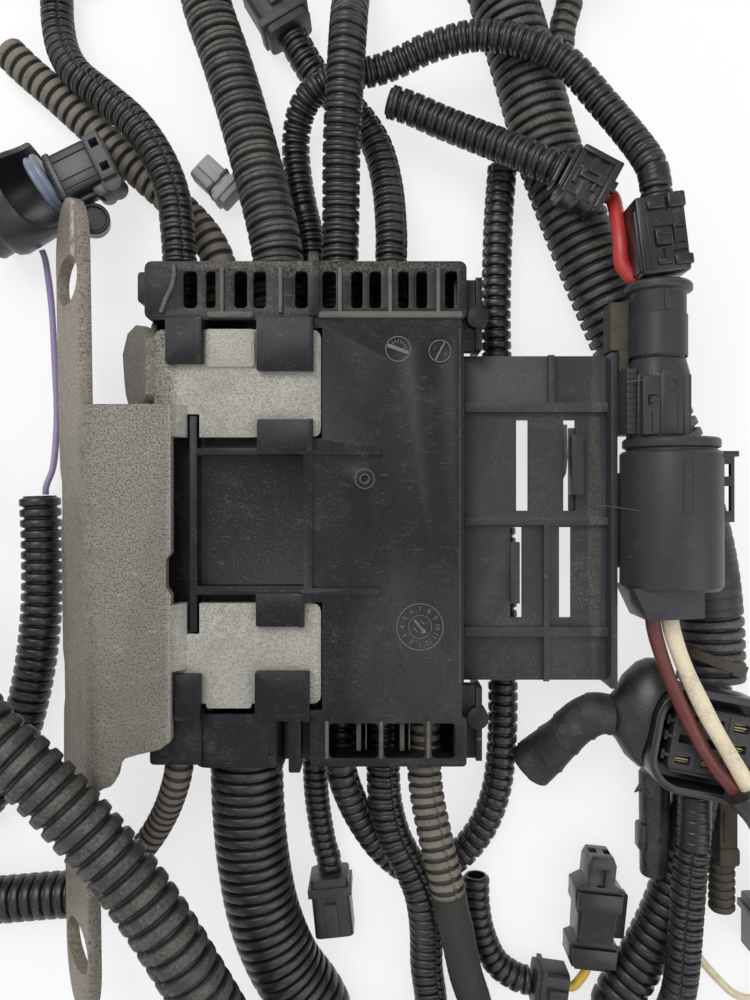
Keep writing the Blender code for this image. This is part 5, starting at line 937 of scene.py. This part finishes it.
def looseStrands():
    bm = bmesh.new()
    addRod(bm, (89.0, 41.8, 50.4), (96.0, 42.3, 54.6), 0.16, 8)
    addRod(bm, (86.4, -2.4, 40.3), (92.4, -3.8, 53.6), 0.16, 8)
    addRod(bm, (86.2, -2.3, 40.2), (80.6, -1.9, 32.2), 0.14, 8)
    return finishDetail("looseStrands", bm, "dark_plastic", cakedDirt)


bentStrip()
slotTongues()
socketGuides()
barrelSeam()
dustySidePlate()
looseStrands()

print("boot plug and clamps")
bootPlugValues = {"place": (-124.9, 122.2, 19.9), "turn": 26, "length": 19.0, "halfWidth": 8.8, "halfHeight": 7.0,
                  "plateLength": 5.8, "hole": 3.4, "holeStep": 9.8}


def bootPlug():
    values = bootPlugValues
    place = placed(*values["place"], values["turn"])
    length, half, high = values["length"], values["halfWidth"], values["halfHeight"]
    bm = bmesh.new()
    addBox(bm, (0.4, -half, -high), (length, half, high), 1.6, place)
    for y in (-6.4, -3.0, 4.8):
        addBox(bm, (2.4, y, high - 0.6), (length - 1.0, y + 0.5, high + 0.45), 0.15, place)
    addBox(bm, (1.6, -half - 0.6, -high + 1.4), (4.2, half + 0.6, high + 0.5), 0.6, place)
    addRod(bm, (length - 2.0, -half - 1.6, -5), (length - 2.0, -half - 1.6, 5), 3.8, 28, place=place, soften=0.6)
    addBox(bm, (6.0, -half - 2.4, -3.0), (14.0, -half + 0.5, 2.6), 0.6, place)
    addRing(bm, 4.6, 6.2, -4.0, 2.2, placed(-110.6, 110.2, 17.0, 0, 14), 40)
    addRod(bm, (0, 0, -3.6), (0, 0, 1.2), 4.9, 32, place=placed(-110.6, 110.2, 17.0, 0, 14))
    return finishDetail("bootPlugBody", bm, "dark_plastic", plugPlastic, "boot_plug")


def bootPlugFace():
    values = bootPlugValues
    place = placed(*values["place"], values["turn"])
    length, half, high = values["length"], values["halfWidth"], values["halfHeight"]
    bm = bmesh.new()
    addBox(bm, (length - 0.6, -half - 0.4, -high + 0.6), (length + values["plateLength"], half + 0.3, high + 0.7), 0.5,
           place)
    cutter = bmesh.new()
    side = values["hole"] / 2
    for share in (-0.5, 0.5):
        y = share * values["holeStep"]
        addBox(cutter, (length + 1.2, y - side, high - 4), (length + 1.2 + 2 * side, y + side, high + 4), 0.0, place)
    bm = carved(bm, cutter)
    addRod(bm, (length + 2.4, -half - 1.6, -4), (length + 2.4, -half - 1.6, high - 1.2), 4.0, 28, place=place,
           soften=0.6)
    return finishDetail("bootPlugFace", bm, "dark_plastic", paleFace)


clampValues = {"side": (77.8, 117.6, 35.1, -28), "arch": (101.0, 93.5, 46.0, -83)}


def sideClampDetails():
    place = placed(*clampValues["side"])
    bm = bmesh.new()
    addBox(bm, (6.4, -9.8, 2.0), (9.2, 9.4, 9.4), 0.6, place)
    addBox(bm, (-6.4, 7.2, 3.0), (8.4, 9.6, 8.9), 0.6, place)
    addBox(bm, (-4.9, 0.8, 7.2), (4.2, 2.4, 8.7), 0.4, place)
    addBox(bm, (-4.9, -5.0, 7.2), (-3.3, 1.6, 8.7), 0.4, place)
    addBox(bm, (2.6, -5.0, 7.2), (4.2, 1.6, 8.7), 0.4, place)
    addBox(bm, (-8.9, -8.6, -2.0), (-7.0, 8.4, 8.6), 0.8, place)
    addBox(bm, (-11.6, -8.0, -2.0), (-9.8, 7.4, 8.0), 0.8, place)
    return finishDetail("sideClampRims", bm, "black_plastic", plugPlastic)


def archClamp():
    place = placed(*clampValues["arch"])
    bm = bmesh.new()
    addBox(bm, (-13.6, -8.6, -7.5), (13.8, 8.6, 7.5), 1.1, place)
    cutter = bmesh.new()
    addBox(cutter, (-2.6, -3.6, 6.2), (4.8, 3.6, 9.0), 0.3, place)
    addBox(cutter, (-1.6, 4.4, 6.6), (-1.1, 7.2, 9.0), 0.0, place)
    addBox(cutter, (3.6, 4.4, 6.6), (4.1, 7.2, 9.0), 0.0, place)
    addBox(cutter, (6.2, 2.6, 6.2), (7.4, 9.4, 9.0), 0.0, place)
    addBox(cutter, (5.6, -1.2, 6.4), (8.6, -0.2, 9.0), 0.0, place)
    addBox(cutter, (-12.4, 1.7, 6.0), (-7.6, 2.2, 9.4), 0.0, place)
    bm = carved(bm, cutter)
    addBox(bm, (-1.7, -2.7, 5.8), (3.9, 2.7, 7.3), 0.35, place)
    addBox(bm, (-0.9, -2.2, 7.0), (0.4, 2.2, 7.7), 0.25, place)
    addBox(bm, (-11.6, -5.0, 6.8), (-8.4, 1.4, 8.9), 0.7, place)
    addBox(bm, (-13.9, 2.4, 6.4), (-8.4, 8.8, 8.7), 0.8, place)
    addBox(bm, (8.8, -3.2, 6.8), (11.2, 2.2, 8.6), 0.7, place)
    addBox(bm, (8.0, 2.8, 5.8), (11.8, 9.4, 8.3), 0.7, place)
    addBox(bm, (-9.0, -9.4, -4.0), (12.4, -8.0, 6.8), 0.5, place)
    addBox(bm, (-8.4, -7.4, 7.0), (12.2, -6.7, 8.0), 0.25, place)
    addBox(bm, (-8.4, -5.6, 7.0), (12.2, -5.0, 7.9), 0.2, place)
    return finishDetail("archClampBody", bm, "black_plastic", plugPlastic, "clamp_arch")


bootPlug()
bootPlugFace()
sideClampDetails()
archClampPiece = archClamp()

print("oval connector and lower plugs")
coreValues = {"place": (124, -90, 0, -11), "top": 39.0}


def coreFingers():
    place = placed(*coreValues["place"])
    top = coreValues["top"]
    bm = bmesh.new()
    for y in (6.2, 0.4, -6.6):
        addBox(bm, (-17.4, y - 0.6, 31), (-14.6, y + 0.6, top - 0.3), 0.15, place)
        addBox(bm, (-17.8, y - 1.7, 31), (-16.7, y + 1.7, top - 0.3), 0.2, place)
    addBox(bm, (-14.6, -12.2, top - 0.4), (14.4, -11.4, top + 0.7), 0.2, place)
    addBox(bm, (-14.6, 11.2, top - 0.4), (14.4, 12.0, top + 0.7), 0.2, place)
    for x in (-4.8, 4.8):
        addBox(bm, (x - 0.25, -11.4, top - 0.2), (x + 0.25, 11.4, top + 0.35), 0.1, place)
    return finishDetail("coreFingers", bm, "dark_plastic", darkPlastic)


def coreContacts():
    place = placed(*coreValues["place"])
    top = coreValues["top"]
    bm = bmesh.new()
    for x, y in ((0, -7.6), (9.6, 0), (9.6, 7.6), (-9.6, -7.6)):
        for offset in (-1.0, 0.1, 1.1):
            addBox(bm, (x - 2.4, y + offset - 0.25, top - 5), (x + 2.4, y + offset + 0.25, top - 1.4 - abs(offset)), 0.1,
                   place)
    return finishDetail("coreContacts", bm, "bracket_steel", contactBrass)


def lowerPlug():
    bm = bmesh.new()
    addBox(bm, (136.8, -140.5, 2.6), (144.2, -118.6, 14.4), 0.9)
    addBox(bm, (136.2, -145.6, 1.6), (145.0, -138.0, 15.6), 1.8)
    addBox(bm, (138.4, -136.0, 14.0), (139.2, -124.0, 15.0), 0.2)
    for step in range(6):
        addRod(bm, (140.4, -148.2 - step * 3.4, 7.4), (140.4, -146.2 - step * 3.4, 7.4), 5.2, 28, soften=0.4)
    addRod(bm, (140.4, -166, 7.4), (140.4, -145, 7.4), 4.3, 24)
    return finishDetail("lowerPlug", bm, "dark_plastic", dustyPlastic)


def slideSleeve():
    bm = bmesh.new()
    addRod(bm, (111.6, -108.0, 11.6), (112.4, -150.0, 10.6), 6.0, 32, soften=1.2)
    addRod(bm, (107.4, -113.6, 12.0), (103.6, -116.8, 12.0), 1.9, 6, 0.2)
    addBox(bm, (104.6, -139.4, 8.0), (108.4, -128.6, 15.4), 1.4)
    return finishDetail("slideSleeve", bm, "black_plastic", sleeveRubber)


def trunkTie():
    place = placed(133.4, -63.0, 13.5, -20) @ Matrix.Rotation(-pi / 2, 4, "X")
    bm = bmesh.new()
    addRing(bm, 13.0, 14.1, -2.0, 2.0, place, 64)
    addBox(bm, (-3.0, 11.4, -2.8), (3.0, 14.0, 2.8), 0.5, place @ Matrix.Rotation(radians(-150), 4, "Z"))
    return finishDetail("trunkTie", bm, "dark_plastic", dustyPlastic)


def greyPlugDetails():
    place = placed(-64, 128.9, 6, 137)
    bm = bmesh.new()
    addBox(bm, (-1.9, -5.9, -5.4), (-0.6, 5.9, 6.1), 0.2, place)
    addRod(bm, (4.6, 0, 5.2), (4.6, 0, 5.9), 1.5, 20, place=place)
    return finishDetail("greyPlugBand", bm, "dark_plastic", darkPlastic)


coreFingers()
coreContacts()
lowerPlug()
slideSleeve()
trunkTie()
greyPlugDetails()

print("conduits")
for cordName in conduitValues:
    ribbedConduit(cordName)
for cordName, slotName, material in (
        ("wire_red", "wire_red", redWire), ("wire_cream", "wire_cream", creamWire),
        ("wire_brown", "wire_brown", brownWire), ("wire_purple", "wire_purple", purpleWire),
        ("wire_pair", "wire_yellow", yellowWire), ("wire_thin", "wire_cream", creamWire),
        ("wire_sleeve", "tape_black", sleeveRubber), ("branch_taped", "tape_black", loomTape)):
    plainCord(cordName, slotName, material)

print("stage")
stageValues = {"floorTone": 0.93, "worldStrength": 0.62, "keyPower": 5.0, "fillPower": 2.2}
world = bpy.data.worlds.new("studio")
bpy.context.scene.world = world
world.use_nodes = True
world.node_tree.nodes["Background"].inputs[0].default_value = (0.97, 0.985, 1.0, 1.0)
world.node_tree.nodes["Background"].inputs[1].default_value = stageValues["worldStrength"]

floorBm = bmesh.new()
bmesh.ops.create_grid(floorBm, x_segments=1, y_segments=1, size=2.0)
bmesh.ops.translate(floorBm, vec=(0, 0, cadBox[0][2] - 0.0005), verts=floorBm.verts)
floor = newPiece("floor", floorBm)
floorMaterial, tree, shader = newMaterial("floorPaper")
tone = stageValues["floorTone"]
shader.inputs["Base Color"].default_value = (tone, tone, tone, 1.0)
shader.inputs["Roughness"].default_value = 0.9
glow = addNode(tree, "Emission", {"Color": (1.0, 1.0, 1.0, 1.0), "Strength": 1.0})
lightPath = addNode(tree, "LightPath")
seen = addNode(tree, "Math", {0: lightPath.outputs["Is Camera Ray"], 1: lightPath.outputs["Is Glossy Ray"]},
               operation="MAXIMUM").outputs[0]
seen = scaled(tree, seen, 0.72)
blend = addNode(tree, "MixShader", {0: seen, 1: shader.outputs[0], 2: glow.outputs[0]})
tree.links.new(blend.outputs[0], tree.nodes["Material Output"].inputs["Surface"])
floor.data.materials.append(floorMaterial)

for lampName, place, size, power in (("keyLamp", (-0.35, 0.5, 0.85), 0.6, stageValues["keyPower"]),
                                     ("fillLamp", (0.6, -0.3, 0.7), 0.7, stageValues["fillPower"])):
    lampData = bpy.data.lights.new(lampName, "AREA")
    lampData.energy = power
    lampData.size = size
    lamp = bpy.data.objects.new(lampName, lampData)
    lamp.location = place
    lamp.rotation_euler = (-Vector(place)).to_track_quat("-Z", "Y").to_euler()
    bpy.context.scene.collection.objects.link(lamp)
